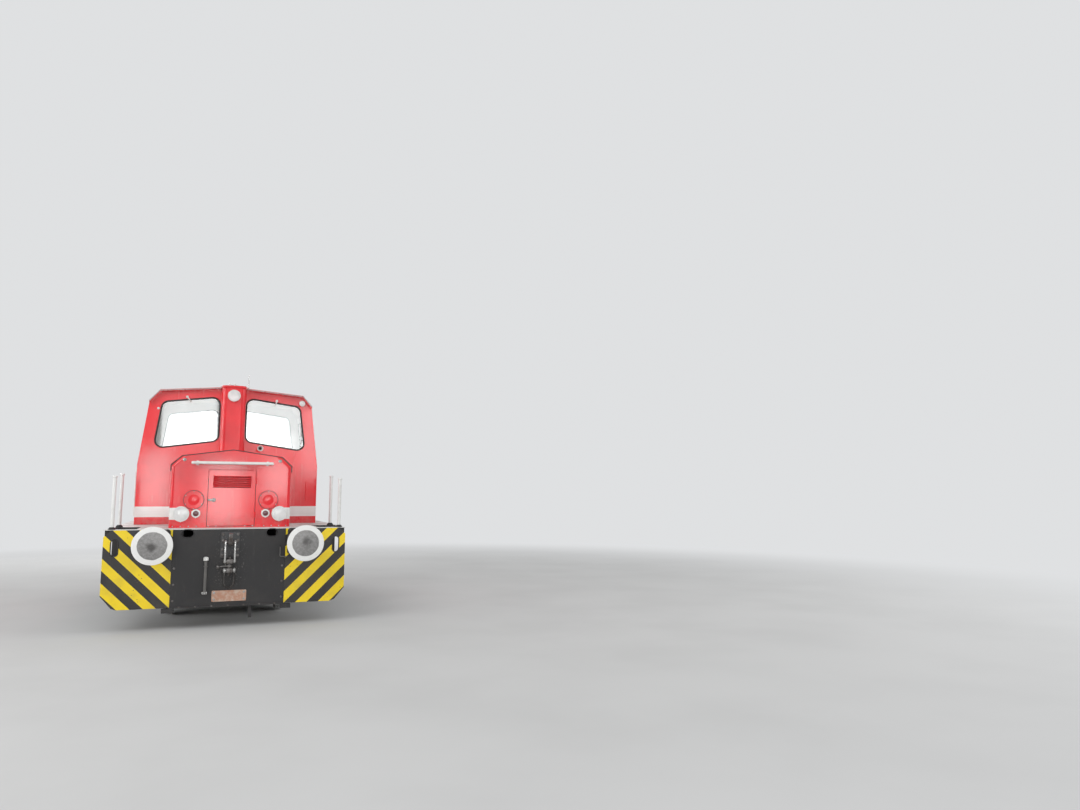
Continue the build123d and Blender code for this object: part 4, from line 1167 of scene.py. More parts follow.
@dataclass
class DrawGear(Assembly):
    """Draw hooks with their screw couplings, at both ends."""

    axis_z: float = 1.078
    pin_out: float = 0.085
    pin_r: float = 0.0195
    link_x: float = 0.058
    link_t: float = 0.022
    link_eye_r: float = 0.026
    trunnions: Pair = (0.838, 0.725)
    trunnion_r: float = 0.024
    thread_step: float = 0.003
    thread_radii: Pair = (0.0160, 0.0185)
    thread_rings: int = 78
    bow_low_z: float = 0.500
    bow_r: float = 0.0145
    collar: Profile = ((0.0, 0.026), (0.004, 0.03), (0.036, 0.03), (0.04, 0.026))
    bow_eye: Profile = ((0.0, 0.028), (0.003, 0.032), (0.025, 0.032), (0.028, 0.028))
    lever: Profile = ((-0.02, 0.0), (-0.09, -0.004), (-0.14, -0.012))
    weight: Profile = ((0.0, 0.012), (0.006, 0.024), (0.02, 0.030), (0.034, 0.024), (0.04, 0.012))
    hook_t: float = 0.048
    hook: Profile = (
        (0.0, -0.040), (0.075, -0.047), (0.150, -0.046), (0.190, -0.034), (0.224, -0.008), (0.243, 0.026),
        (0.246, 0.062), (0.241, 0.094), (0.229, 0.114), (0.210, 0.118), (0.196, 0.104), (0.191, 0.078),
        (0.184, 0.052), (0.168, 0.034), (0.148, 0.027), (0.130, 0.032), (0.116, 0.046), (0.107, 0.062),
        (0.096, 0.068), (0.082, 0.060), (0.058, 0.047), (0.0, 0.040))
    plate: Profile = ((-0.115, 0.878), (0.115, 0.878), (0.115, 1.208), (-0.115, 1.208))
    plate_t: float = 0.02
    bolt_x: float = 0.09
    bolt_zs: tuple[float, ...] = (0.91, 0.985, 1.10, 1.175)

    def hooks(self) -> None:
        """Make the hooks and their guide plates."""
        hooks = self.piece("hooks", "worn_steel", Slot.WORN)
        plates = self.piece("hook_plates", "scuffed_plate", Slot.FRAME)
        for end in End:
            outline = [end.at(-self.hook_t / 2, self.beam_y + out, self.axis_z + up) for out, up in self.hook]
            hooks.plate(outline, (self.hook_t, 0.0, 0.0), bevel=0.007)
            plates.plate([end.at(x, self.beam_y, z) for x, z in rounded(self.plate, 0.02, 4)],
                         end.at(0.0, self.plate_t, 0.0), bevel=0.003)
            for x in (-self.bolt_x, self.bolt_x):
                for z in self.bolt_zs:
                    hooks.bolt(end.at(x, self.beam_y + self.plate_t, z), end.out, 0.014)
        hooks.finish("draw_hooks")
        plates.finish("draw_hooks")

    def link(self, links: Piece, side: Side, y: float) -> None:
        """Add one link between the hook's pin and the upper trunnion.

        Args:
            links: Piece that takes the link.
            side: Which side of the screw it lies on.
            y: Station of the coupling.
        """
        near_x = side.value * self.link_x - self.link_t / 2
        eye = [(math.cos(turn) * self.link_eye_r, math.sin(turn) * self.link_eye_r) for turn in half_turn(10)]
        outline = [(near_x, y + a, self.axis_z + b) for a, b in eye]
        outline += [(near_x, y - a, self.trunnions[0] - b) for a, b in eye]
        links.plate(outline, (self.link_t, 0.0, 0.0), bevel=0.004)

    def bow_path(self, y: float) -> list[Point]:
        """The hanging bow's centre line, at station y."""
        low, bend = self.trunnions[1], self.bow_low_z + self.link_x + 0.014
        return [(self.link_x, y, low), (self.link_x, y, bend + 0.02),
                *((self.link_x * math.cos(turn), y, bend - self.link_x * math.sin(turn))
                  for turn in half_turn(16)),
                (-self.link_x, y, bend + 0.02), (-self.link_x, y, low)]

    def couplings(self) -> None:
        """Make links, trunnions, threaded screw, lever and bow."""
        screws = self.piece("coupling_screws", "worn_steel", Slot.WORN)
        links = self.piece("coupling_links", "bright_steel", Slot.WORN)
        bows = self.piece("coupling_bows", "oiled_steel", Slot.WORN)
        upper, lower = self.trunnions
        middle = (upper + lower) / 2
        span = self.link_x + self.link_t
        thread = [(step * self.thread_step, self.thread_radii[step % 2]) for step in range(self.thread_rings)]
        for end in End:
            y = end.value * (self.beam_y + self.pin_out)
            for z, radius in ((self.axis_z, self.pin_r), (upper, self.trunnion_r), (lower, self.trunnion_r)):
                pin = [(0.0, radius * 0.8), (0.003, radius), (2 * span - 0.003, radius),
                       (2 * span, radius * 0.8)]
                screws.lathe((-span, y, z), ACROSS, pin, 28)
            for side in Side:
                self.link(links, side, y)
                screws.bolt((side.value * self.link_x + side.value * 0.012, y, self.axis_z), side.out, 0.02)
            screws.lathe((0.0, y, lower - 0.06), UP, thread, 24)
            for z in (upper, lower):
                screws.box((0.0, y, z), (0.074, 0.058, 0.056), 0.009)
            screws.lathe((0.0, y, middle - 0.02), UP, self.collar, 28)
            screws.tube([(x, y, middle + drop) for x, drop in self.lever], 0.0105)
            screws.lathe((-0.118, y, middle - 0.010), (-1.0, 0.0, -0.1), self.weight, 28)
            bows.tube(self.bow_path(y), self.bow_r, 18)
            for side in Side:
                links.lathe(side.at(self.link_x - 0.014, y, lower), side.out, self.bow_eye, 28)
        for made in (screws, links, bows):
            made.finish("screw_couplings")

    def build(self) -> None:
        """Make hooks and couplings."""
        self.hooks()
        self.couplings()


@dataclass
class BrakePipes(Assembly):
    """The brake pipe with its capped top and cock, and the bent rest beside it."""

    out: float = 0.04
    pipe_x: float = -0.28
    pipe_r: float = 0.019
    low_z: float = 0.43
    top_z: float = 0.87
    cock_up: float = 0.018
    cap: Profile = ((0.0, 0.02), (0.002, 0.030), (0.03, 0.033), (0.044, 0.028), (0.05, 0.012))
    clip: Profile = ((0.0, 0.022), (0.002, 0.026), (0.014, 0.026), (0.016, 0.022))
    spindle: Profile = ((0.0, 0.014), (0.012, 0.014), (0.014, 0.011))
    rest: tuple[Point, ...] = ((0.615, 0.0, 1.0), (0.615, 0.04, 1.0), (0.615, 0.04, 0.88), (0.70, 0.04, 0.88))
    rest_r: float = 0.007

    def build(self) -> None:
        """Make the pipes, caps, cocks and rests."""
        pipes = self.piece("brake_pipe_runs", "pipe_grey", Slot.WORN)
        caps = self.piece("brake_pipe_caps", "white_enamel", Slot.WHITE)
        fittings = self.piece("brake_pipe_fittings", "bright_steel", Slot.WORN)
        cock_z = self.low_z + self.cock_up
        for end in End:
            y = end.value * (self.beam_y + self.out)
            pipes.tube([(self.pipe_x, y, z) for z in (self.low_z + 0.01, 0.65, self.top_z)], self.pipe_r, 20)
            caps.lathe((self.pipe_x, y, self.top_z - 0.02), UP, self.cap, 28)
            for z in (self.low_z + 0.025, self.top_z - 0.09):
                pipes.lathe((self.pipe_x, y, z - 0.008), UP, self.clip, 24)
                pipes.box(end.at(self.pipe_x, self.beam_y + 0.014, z), (0.028, 0.028, 0.016), 0.003)
            fittings.box((self.pipe_x, y, cock_z), (0.058, 0.046, 0.034), 0.008)
            fittings.lathe((self.pipe_x - 0.024, y, cock_z), (-1.0, 0.0, 0.0), self.spindle, 18)
            fittings.bolt((self.pipe_x, y + end.value * 0.02, cock_z), end.out, 0.012)
            path = [end.at(x, self.beam_y + reach, z) for x, reach, z in self.rest]
            pipes.tube(arc_path(path, 0.018), self.rest_r, 12)
        for made in (pipes, caps, fittings):
            made.finish("brake_pipes")


@dataclass(frozen=True)
class LampSize:
    """The sizes of one kind of lamp."""

    radius: float
    depth: float
    rim: float


@dataclass
class Lamps(Assembly):
    """Head, tail and top lamps."""

    head: Pair = (0.610, 1.433)
    head_size: LampSize = LampSize(0.100, 0.060, 0.012)
    tail: Pair = (0.432, 1.438)
    tail_size: LampSize = LampSize(0.055, 0.040, 0.018)
    tops: tuple[tuple[End, float, float], ...] = ((End.FRONT, -1.19, 3.168), (End.REAR, 0.97, 2.90))
    top_size: LampSize = LampSize(0.09, 0.07, 0.010)
    lug_turns: tuple[float, ...] = (0.6, 2.6, 4.7)
    lug: float = 0.014

    def lamp(self, shell: Piece, lens: Piece, centre: Point, end: End, size: LampSize) -> None:
        """Add one lamp.

        Args:
            shell: Piece that takes the shell and its rim.
            lens: Piece that takes the glass.
            centre: Middle of the lamp on the surface that carries it.
            end: Which way it looks.
            size: Its sizes.
        """
        radius, depth, rim = size.radius, size.depth, size.rim
        shell.lathe(centre, end.out, [
            (0.0, radius * 0.9), (depth * 0.2, radius * 0.94), (depth * 0.62, radius * 0.97),
            (depth * 0.70, radius), (depth * 0.86, radius), (depth * 0.96, radius - 0.005),
            (depth * 0.97, radius - rim), (depth * 0.84, radius - rim - 0.002)], 64)
        inner = radius - rim + 0.001
        turns = [share * math.pi / 2 for share in (1.0, 0.85, 0.7, 0.5, 0.3, 0.12, 0.0)]
        dome = [(depth * (0.86 + 0.12 * math.cos(turn)), inner * math.sin(turn) + 0.0003) for turn in turns]
        lens.lathe(centre, end.out, [(depth * 0.82, inner), *dome], 64)
        for turn in self.lug_turns:
            place = (centre[0] + math.cos(turn) * (radius - 0.002), centre[1] + end.value * depth * 0.78,
                     centre[2] + math.sin(turn) * (radius - 0.002))
            shell.box(place, (self.lug, depth * 0.16, self.lug), 0.003)

    def build(self) -> None:
        """Make shells and lenses."""
        shell = self.piece("lamp_shells", "white_enamel", Slot.WHITE)
        clear = self.piece("lamp_lenses", "clear_lens", Slot.WHITE)
        red = self.piece("tail_lenses", "red_lens", Slot.WHITE)
        for end, side in CORNERS:
            for lens, (x, z), size in ((clear, self.head, self.head_size), (red, self.tail, self.tail_size)):
                self.lamp(shell, lens, side.at(x, end.value * self.hood_y, z), end, size)
        for end, y, z in self.tops:
            self.lamp(shell, clear, (0.0, y, z), end, self.top_size)
        for made in (shell, clear, red):
            made.finish("lamps")


@dataclass
class Handrails(Assembly):
    """White corner posts and the rail across each hood."""

    post_x: float = 1.37
    posts: Profile = ((2.82, 0.665), (1.95, 0.715))
    post_r: float = 0.022
    collar: float = 0.006
    foot: Profile = ((0.0, 0.045), (0.008, 0.045), (0.012, 0.041), (0.03, 0.027))
    rail_z: float = 2.103
    rail_out: float = 0.06
    rail_half: float = 0.515
    rail_r: float = 0.0205
    stay_x: float = 0.44
    stay_r: float = 0.012

    def build(self) -> None:
        """Make the posts and rails."""
        white = self.piece("posts_and_rails", "white_enamel", Slot.WHITE)
        feet = self.piece("post_feet", "frame_charcoal", Slot.FRAME)
        length, thick = 2 * self.rail_half, self.post_r + self.collar
        for end in End:
            for side in Side:
                for y, height in self.posts:
                    base = side.at(self.post_x, end.value * y, self.deck_z)
                    white.lathe(base, UP, [
                        (0.0, self.post_r), (height - 0.030, self.post_r), (height - 0.026, thick),
                        (height - 0.008, thick), (height - 0.001, self.post_r - 0.004), (height, 0.004)], 28)
                    feet.lathe(base, UP, self.foot, 28)
            white.lathe(end.at(-self.rail_half, self.hood_y + self.rail_out, self.rail_z), ACROSS, [
                (0.0, 0.006), (0.004, self.rail_r * 0.75), (0.012, self.rail_r),
                (length - 0.012, self.rail_r), (length - 0.004, self.rail_r * 0.75), (length, 0.006)], 28)
            stay = [(0.0, 0.03), (0.006, 0.03), (0.009, self.stay_r), (self.rail_out - 0.01, self.stay_r)]
            for x in (-self.stay_x, self.stay_x):
                white.lathe(end.at(x, self.hood_y, self.rail_z), end.out, stay, 24)
        white.finish("handrails")
        feet.finish()


@dataclass(frozen=True)
class CabShape:
    """The cab's outlines, which its trim follows."""

    end_y: float = 0.97
    wall: float = 0.04
    half: float = 1.276
    waist_z: float = 2.13
    eave: Pair = (1.163, 3.05)
    roof: Profile = ((1.16, 3.078), (1.02, 3.238), (0.0, 3.328))
    roof_slope: float = 0.0882
    overhang: float = 0.07
    end_window: Profile = ((0.190, 2.499), (1.080, 2.366), (0.985, 3.066), (0.190, 3.170))
    end_r: float = 0.105
    side_window: Pair = (0.44, 0.56)
    side_r: float = 0.08
    side_ys: Pair = (-0.64, 0.64)
    side_z: float = 2.67

    @property
    def slope(self) -> float:
        """How far a side leans in for each metre over the waist."""
        return (self.half - self.eave[0]) / (self.eave[1] - self.waist_z)

    def side_x(self, z: float) -> float:
        """Half the cab's width at height z."""
        return self.half - max(z - self.waist_z, 0.0) * self.slope

    def end_outline(self, side: Side, y: float) -> list[Vector]:
        """The edge of one end window, at station y."""
        return [Vector(side.at(x, y, z)) for x, z in rounded(self.end_window, self.end_r, 9)]

    def side_outline(self, side: Side, y: float, depth: float = 0.0) -> list[Vector]:
        """The edge of one side window, centred on y and depth inside the outer face."""
        half, tall = self.side_window[0] / 2, self.side_window[1] / 2
        corners = [(y + along * half, self.side_z + up * tall) for along, up in SQUARE]
        edge = rounded(corners, self.side_r, 8)
        return [Vector(side.at(self.side_x(z) - depth, along, z)) for along, z in edge]

    def side_normal(self, side: Side) -> Point:
        """Direction out of a leaning side."""
        return (side.value / math.hypot(1.0, self.slope), 0.0, self.slope / math.hypot(1.0, self.slope))


@dataclass
class Headstocks(Assembly):
    """Rims, bolts and the blank plate on the beams."""

    hand_hole: Point = (0.51, 1.193, 0.045)
    hand_half: float = 0.025
    grip: Point = (1.33, 1.028, 0.038)
    grip_half: float = 0.062
    rim: float = 0.004
    side_bolt_x: float = 0.648
    side_bolt_zs: tuple[float, ...] = (0.36, 0.56, 0.76)
    low_bolts: Row = (-0.57, 0.19, 7)
    low_bolt_z: float = 0.279
    plate: tuple[float, float, float, float] = (-0.196, 0.218, 0.331, 0.469)
    plate_t: float = 0.008

    @staticmethod
    def slot_outline(centre: Point, half: Point, radius: float) -> list[Vector]:
        """The edge of a slot.

        Args:
            centre: Its middle.
            half: How far each round end lies from the middle.
            radius: Radius of the round ends.

        Returns:
            The points of the edge.
        """
        made = []
        for sign in (1.0, -1.0):
            start = math.atan2(half[2], half[0]) - math.pi / 2 + (0.0 if sign > 0 else math.pi)
            for swing in half_turn(12):
                turn = start + swing
                made.append(Vector((centre[0] + sign * half[0] + radius * math.cos(turn), centre[1],
                                    centre[2] + sign * half[2] + radius * math.sin(turn))))
        return made

    def beams(self) -> None:
        """Make the slots' rims and the beams' bolts."""
        rims = self.piece("slot_rims", "frame_charcoal", Slot.FRAME)
        bolts = self.piece("beam_bolts", "worn_steel", Slot.WORN)
        slots = ((self.hand_hole, (self.hand_half, 0.0, 0.0)), (self.grip, (0.0, 0.0, self.grip_half)))
        for end in End:
            for side in Side:
                for (x, z, radius), half in slots:
                    centre = side.at(x, end.value * (self.beam_y + 0.001), z)
                    rims.tube(self.slot_outline(centre, half, radius + self.rim), 0.006, 10, closed=True,
                              normal=end.out)
                for z in self.side_bolt_zs:
                    bolts.bolt(side.at(self.side_bolt_x, end.value * self.beam_y, z), end.out, 0.011)
            for x in row(*self.low_bolts):
                bolts.bolt(end.at(x, self.beam_y + 0.016, self.low_bolt_z), end.out, 0.009)
        rims.finish()
        bolts.finish()

    def build(self) -> None:
        """Make rims, bolts and the plate."""
        self.beams()
        plate = self.piece("blank_plate", "rusty_plate", Slot.WORN)
        heads = self.piece("plate_screws", "bright_steel", Slot.WORN)
        left, right, low, high = self.plate
        corners = rounded(((left, low), (right, low), (right, high), (left, high)), 0.012, 4)
        plate.plate([(x, -self.beam_y, z) for x, z in corners], (0.0, -self.plate_t, 0.0), bevel=0.0015)
        for x in (left + 0.028, right - 0.028):
            for z in (low + 0.026, high - 0.026):
                heads.bolt((x, -self.beam_y - self.plate_t, z), End.FRONT.out, 0.010)
        plate.finish()
        heads.finish()


@dataclass
class HoodTrim(Assembly):
    """Seams, covers, catches and door handles of both hoods."""

    half: float = 0.755
    eaves: Profile = ((0.755, 1.99), (0.755, 2.068), (0.63, 2.188))
    panel_seams: tuple[Point, ...] = ((2.466, 0.0035, 0.0105), (1.76, 0.001, 0.005))
    shoulder_ys: tuple[float, ...] = (2.466, 1.7, 0.975)
    cowl_foot: Profile = ((0.19, 1.208), (0.56, 1.208), (0.563, 1.205), (0.563, 0.985))
    cover: Point = (0.465, 1.616, 0.102)
    catch_x: float = 0.60
    catch_z: float = 2.142
    catch: Profile = ((0.0, 0.022), (0.012, 0.022), (0.018, 0.016), (0.020, 0.006), (0.020, 0.0003))
    end_screws: Row = (0.18, 0.095, 6)
    end_screw_gap: float = 0.05
    end_screw_z: float = 1.272
    side_screws: Row = (1.03, 0.175, 9)
    side_screw_z: float = 1.285
    door_z: float = 1.616
    handle_x: float = -0.222
    end_rose: Profile = ((0.0, 0.026), (0.004, 0.026), (0.007, 0.016), (0.03, 0.014))
    grille: Row = (1.778, 1.938, 6)
    lip: Point = (0.472, 0.012, 0.0130)
    side_handle: Pair = (1.60, 1.655)
    side_rose: Profile = ((0.0, 0.03), (0.004, 0.03), (0.007, 0.018), (0.02, 0.016))
    grip_out: float = 0.0165

    def roof_line(self, y: float, lift: float) -> list[Point]:
        """The hood's outline over its roof, at station y."""
        right = [(x + lift * 0.7, y, z + lift * 0.7) for x, z in self.eaves]
        return [*right, (0.0, y, self.hood_ridge_z + lift), *[(-x, y, z) for x, y, z in reversed(right)]]

    def roof_z(self, x: float) -> float:
        """The height of the roof at x, between the shoulders."""
        shoulder, low = self.eaves[-1]
        return self.hood_ridge_z - (self.hood_ridge_z - low) * abs(x) / shoulder

    def seams(self) -> None:
        """Lay the dark seals of the roof panels and round the cowls, and a dark strip at the cab wall that is
        partly painted shade.
        """
        seals = self.piece("hood_seals_and_shade_strip", "rubber", Slot.FRAME)
        for end in End:
            for y, lift, radius in self.panel_seams:
                seals.tube(self.roof_line(end.value * y, lift), radius, 10, normal=ALONG)
            for side in Side:
                for x, z in self.eaves[1:]:
                    path = [side.at(x + 0.001, end.value * y, z + 0.001) for y in self.shoulder_ys]
                    seals.tube(path, 0.005, 10)
                base = [side.at(x, end.value * y, self.roof_z(x) + 0.002) for x, y in self.cowl_foot]
                seals.tube(base, 0.006, 10, normal=UP)
            # The dark rubber strip along the hood's roof line at the cab wall is a seal that is also painted
            # shade: it stands in for the shade of the gap between hood and cab.
            edge = [end.at(x, self.cab_y + 0.003, z + 0.003) for x, _, z in self.roof_line(0.0, 0.0)]
            seals.tube(edge, 0.010, 10, normal=ALONG)
        seals.finish()

    def screws(self, made: Piece, end: End, side: Side) -> None:
        """Add the screws and the catch of one side of one hood's end.

        Args:
            made: Piece that takes them.
            end: Which hood.
            side: Which side of it.
        """
        x, z, radius = self.cover
        turns = [math.pi * (step / 3 + 1 / 6) for step in range(6)]
        for place in circle(side.at(x, end.value * (self.hood_y + 0.024), z), radius + 0.009, turns):
            made.bolt(place, end.out, 0.0045)
        made.lathe(side.at(self.catch_x, end.value * (self.hood_y - 0.006), self.catch_z),
                   (0.0, float(end.value), 0.35), self.catch, 24)
        for step, x in enumerate(row(*self.end_screws)):
            gap = self.end_screw_gap if step > 1 else 0.0
            made.bolt(side.at(x + gap, end.value * self.hood_y, self.end_screw_z), end.out, 0.006)
        for y in row(*self.side_screws):
            made.bolt(side.at(self.half, end.value * y, self.side_screw_z), side.out, 0.007)

    def covers(self) -> None:
        """Fill the round covers on the hood's ends, with their screws and a dark ring of painted shade round
        each.
        """
        domes = self.piece("round_covers", "plain_red", Slot.RED)
        screws = self.piece("hood_screws", "bright_steel", Slot.WORN)
        seals = self.piece("cover_rim_shade_rings", "rubber", Slot.FRAME)
        x, z, radius = self.cover
        dome = [(-0.002, radius + 0.001), (0.006, radius), (0.008, radius * 0.93), (0.004, radius * 0.9),
                (0.004, radius * 0.84), (0.009, radius * 0.8), (0.014, radius * 0.6), (0.017, radius * 0.35),
                (0.018, radius * 0.12), (0.018, 0.0003)]
        for end, side in CORNERS:
            domes.lathe(side.at(x, end.value * self.hood_y, z), end.out, dome, 64)
            self.screws(screws, end, side)
            # The dark rubber ring round each cover is painted shade: it stands in for the shade line at the
            # edge of the cover's flange.
            edge = circle(side.at(x, end.value * (self.hood_y + 0.001), z), radius + 0.0205, whole_turn(48))
            seals.tube(edge, 0.0045, 8, closed=True, normal=end.out)
        domes.finish()
        seals.finish()
        screws.finish()

    def end_doors(self) -> None:
        """Put a handle and the slats' lips on each end door."""
        low, high, count = self.grille
        for end, body in ((End.FRONT, Body.FRONT_END_DOOR), (End.REAR, Body.REAR_END_DOOR)):
            handle = self.piece(f"{body.value}_handle", "bright_steel", Slot.WORN, body)
            handle.lathe(end.at(self.handle_x, self.hood_y, self.door_z), end.out, self.end_rose, 28)
            handle.box(end.at(self.handle_x - 0.033, self.hood_y + self.grip_out, self.door_z),
                       (0.076, 0.033, 0.026), 0.010)
            handle.finish()
            lips = self.piece(f"{body.value}_slat_lips", "plain_red", Slot.RED, body)
            for slat in range(count):
                z = low + (high - low) * (slat + 0.5) / count + 0.007
                lips.box(end.at(0.0, self.hood_y + 0.006, z), self.lip, 0.002)
            lips.finish()

    def side_doors(self) -> None:
        """Put handles on the side doors."""
        bodies = (Body.FRONT_LEFT_DOOR, Body.FRONT_RIGHT_DOOR, Body.REAR_LEFT_DOOR, Body.REAR_RIGHT_DOOR)
        y, z = self.side_handle
        for (end, side), body in zip(CORNERS, bodies):
            handle = self.piece(f"{body.value}_handle", "bright_steel", Slot.WORN, body)
            handle.box(side.at(self.half + self.grip_out, end.value * y, z), (0.033, 0.026, 0.096), 0.010)
            handle.lathe(side.at(self.half, end.value * y, z), side.out, self.side_rose, 28)
            handle.finish()

    def build(self) -> None:
        """Make the trim."""
        self.seams()
        self.covers()
        self.end_doors()
        self.side_doors()


@dataclass
class CabTrim(Assembly):
    """Window seals, wiper arms, rails, roof edges and door furniture."""

    shape: CabShape = field(default_factory=CabShape)
    bodies: tuple[tuple[Side, Body], ...] = (
        (Side.LEFT, Body.LEFT_CAB_DOOR), (Side.RIGHT, Body.RIGHT_CAB_DOOR))
    wall_depths: Pair = (0.0, 0.041)
    door_depths: Pair = (0.0, 0.031)
    seal_flat: float = 0.65
    wiper_ends: tuple[tuple[Pair, Pair], ...] = (
        ((-0.652, 3.150), (-0.594, 3.072)), ((0.632, 3.145), (0.610, 3.070)))
    boss: Profile = ((0.0, 0.02), (0.010, 0.02), (0.016, 0.014), (0.030, 0.013), (0.034, 0.008))
    stud_place: Pair = (-1.036, 2.962)
    stud: Profile = ((0.0, 0.018), (0.008, 0.017), (0.014, 0.010), (0.016, 0.0005))
    marker_place: Pair = (1.010, 3.118)
    marker: Profile = ((0.0, 0.034), (0.02, 0.038), (0.044, 0.046), (0.052, 0.046), (0.056, 0.042),
                       (0.05, 0.036))
    marker_glass: Profile = ((0.048, 0.037), (0.054, 0.032), (0.058, 0.02), (0.060, 0.008), (0.060, 0.0003))
    rail_ys: Pair = (-0.405, 0.425)
    rail_zs: Pair = (1.36, 2.04)
    rail_out: float = 0.05
    rail_foot: Profile = ((0.0, 0.03), (0.005, 0.03), (0.008, 0.02))
    strip: tuple[Point, ...] = ((0.004, -0.42, 3.036), (0.006, 0.0, 3.040), (0.004, 0.42, 3.036))
    rod: Profile = ((1.112, 1.60), (1.110, 1.75), (1.108, 1.90))
    rod_out: float = 0.018
    rod_clips: Pair = (1.64, 1.86)
    duct_edge_x: float = 0.19
    trim_drop: float = 0.014
    keyhole: Profile = ((0.0, 0.012), (0.007, 0.012), (0.008, 0.004))

    def side_seals(self, made: Piece, side: Side, y: float, depths: Sequence[float]) -> None:
        """Run rubber round one side window.

        Args:
            made: Piece that takes the rubber.
            side: Which side of the cab.
            y: Station of the window's middle.
            depths: How far inside the outer face each ring lies.
        """
        for depth in depths:
            made.tube(self.shape.side_outline(side, y, depth), 0.013, 12, closed=True, flat=self.seal_flat,
                      normal=self.shape.side_normal(side))

    def seals(self) -> None:
        """Run rubber round every window."""
        fixed = self.piece("window_seals", "rubber", Slot.FRAME)
        rings = ((self.shape.end_y + 0.001, 0.0105), (self.shape.end_y - self.shape.wall, 0.010))
        for side in Side:
            for end in End:
                for y, radius in rings:
                    fixed.tube(self.shape.end_outline(side, end.value * y), radius, 12, closed=True,
                               flat=self.seal_flat, normal=ALONG)
            for y in self.shape.side_ys:
                self.side_seals(fixed, side, y, self.wall_depths)
        fixed.finish()
        for side, body in self.bodies:
            moving = self.piece(f"{body.value}_seal", "rubber", Slot.FRAME, body)
            self.side_seals(moving, side, 0.0, self.door_depths)
            moving.finish()

    def wipers(self) -> None:
        """Hang a short arm over each end window, and the studs and marker lamp beside them."""
        white = self.piece("wiper_arms", "white_enamel", Slot.WHITE)
        lens = self.piece("marker_lens", "clear_lens", Slot.WHITE)
        wall = self.shape.end_y
        for end in End:
            for (x, z), (tip_x, tip_z) in self.wiper_ends:
                white.lathe(end.at(x, wall, z), end.out, self.boss, 24)
                white.tube([end.at(x, wall + 0.024, z), end.at((x + tip_x) / 2, wall + 0.03, (z + tip_z) / 2),
                            end.at(tip_x, wall + 0.02, tip_z)], 0.0085, 12)
            x, z = self.stud_place
            white.lathe(end.at(x, wall, z), end.out, self.stud, 24)
            x, z = self.marker_place
            white.lathe(end.at(x, wall, z), end.out, self.marker, 40)
            lens.lathe(end.at(x, wall, z), end.out, self.marker_glass, 40)
        white.finish()
        lens.finish()

    def front_rod(self) -> None:
        """Clip a thin rod to the front wall."""
        rod = self.piece("front_rod", "plain_red", Slot.RED)
        rod.tube([(x, -self.shape.end_y - self.rod_out, z) for x, z in self.rod], 0.0065, 12)
        for z in self.rod_clips:
            rod.box((self.rod[1][0], -self.shape.end_y - self.rod_out / 2, z), (0.018, 0.018, 0.012), 0.002)
        rod.finish()

    def rails(self) -> None:
        """Put grab rails beside the doors, a rod by the front hood and bright trim along the roof's edges,
        which is also a painted highlight along those edges.
        """
        white = self.piece("door_rails", "white_enamel", Slot.WHITE)
        trim = self.piece("roof_trim_and_edge_highlight", "bright_steel", Slot.WORN)
        strips = self.piece("rain_strips", "rubber", Slot.FRAME)
        half, reach, over = self.shape.half, self.shape.half + self.rail_out, self.shape.eave[0]
        low, high = self.rail_zs
        bent = ((half, low), (reach, low), (reach, high), (half, high))
        for side in Side:
            for y in self.rail_ys:
                white.tube(arc_path([side.at(x, y, z) for x, z in bent], 0.03), 0.0125, 16)
                for z in self.rail_zs:
                    white.lathe(side.at(half, y, z), side.out, self.rail_foot, 24)
            strips.tube([side.at(over + out, y, z) for out, y, z in self.strip], 0.010, 12)
        self.front_rod()
        # The bright steel trim along each roof edge is a strip that also stands in for the highlight along
        # that edge: painted highlight.
        for end, side in CORNERS:
            edge = end.value * (self.shape.end_y + self.shape.overhang)
            roof = list(self.shape.roof)
            if end is End.FRONT:
                roof[-1] = (self.duct_edge_x, roof[-1][1] - self.duct_edge_x * self.shape.roof_slope)
            trim.tube([side.at(x, edge, z - self.trim_drop) for x, z in roof], 0.008, 12, normal=ALONG)
        for made in (white, trim, strips):
            made.finish()

    def doors(self) -> None:
        """Fit each cab door with a handle, its plate and a keyhole."""
        half = self.shape.half
        for side, body in self.bodies:
            handle = self.piece(f"{body.value}_handle", "bright_steel", Slot.WORN, body)
            handle.box(side.at(half + 0.0165, -0.27, 2.05), (0.033, 0.116, 0.026), 0.010)
            handle.box(side.at(half + 0.002, -0.285, 2.02), (0.006, 0.05, 0.17), 0.002)
            handle.lathe(side.at(half, -0.285, 1.975), side.out, self.keyhole, 20)
            handle.finish()

    def build(self) -> None:
        """Make the trim."""
        self.seals()
        self.wipers()
        self.rails()
        self.doors()


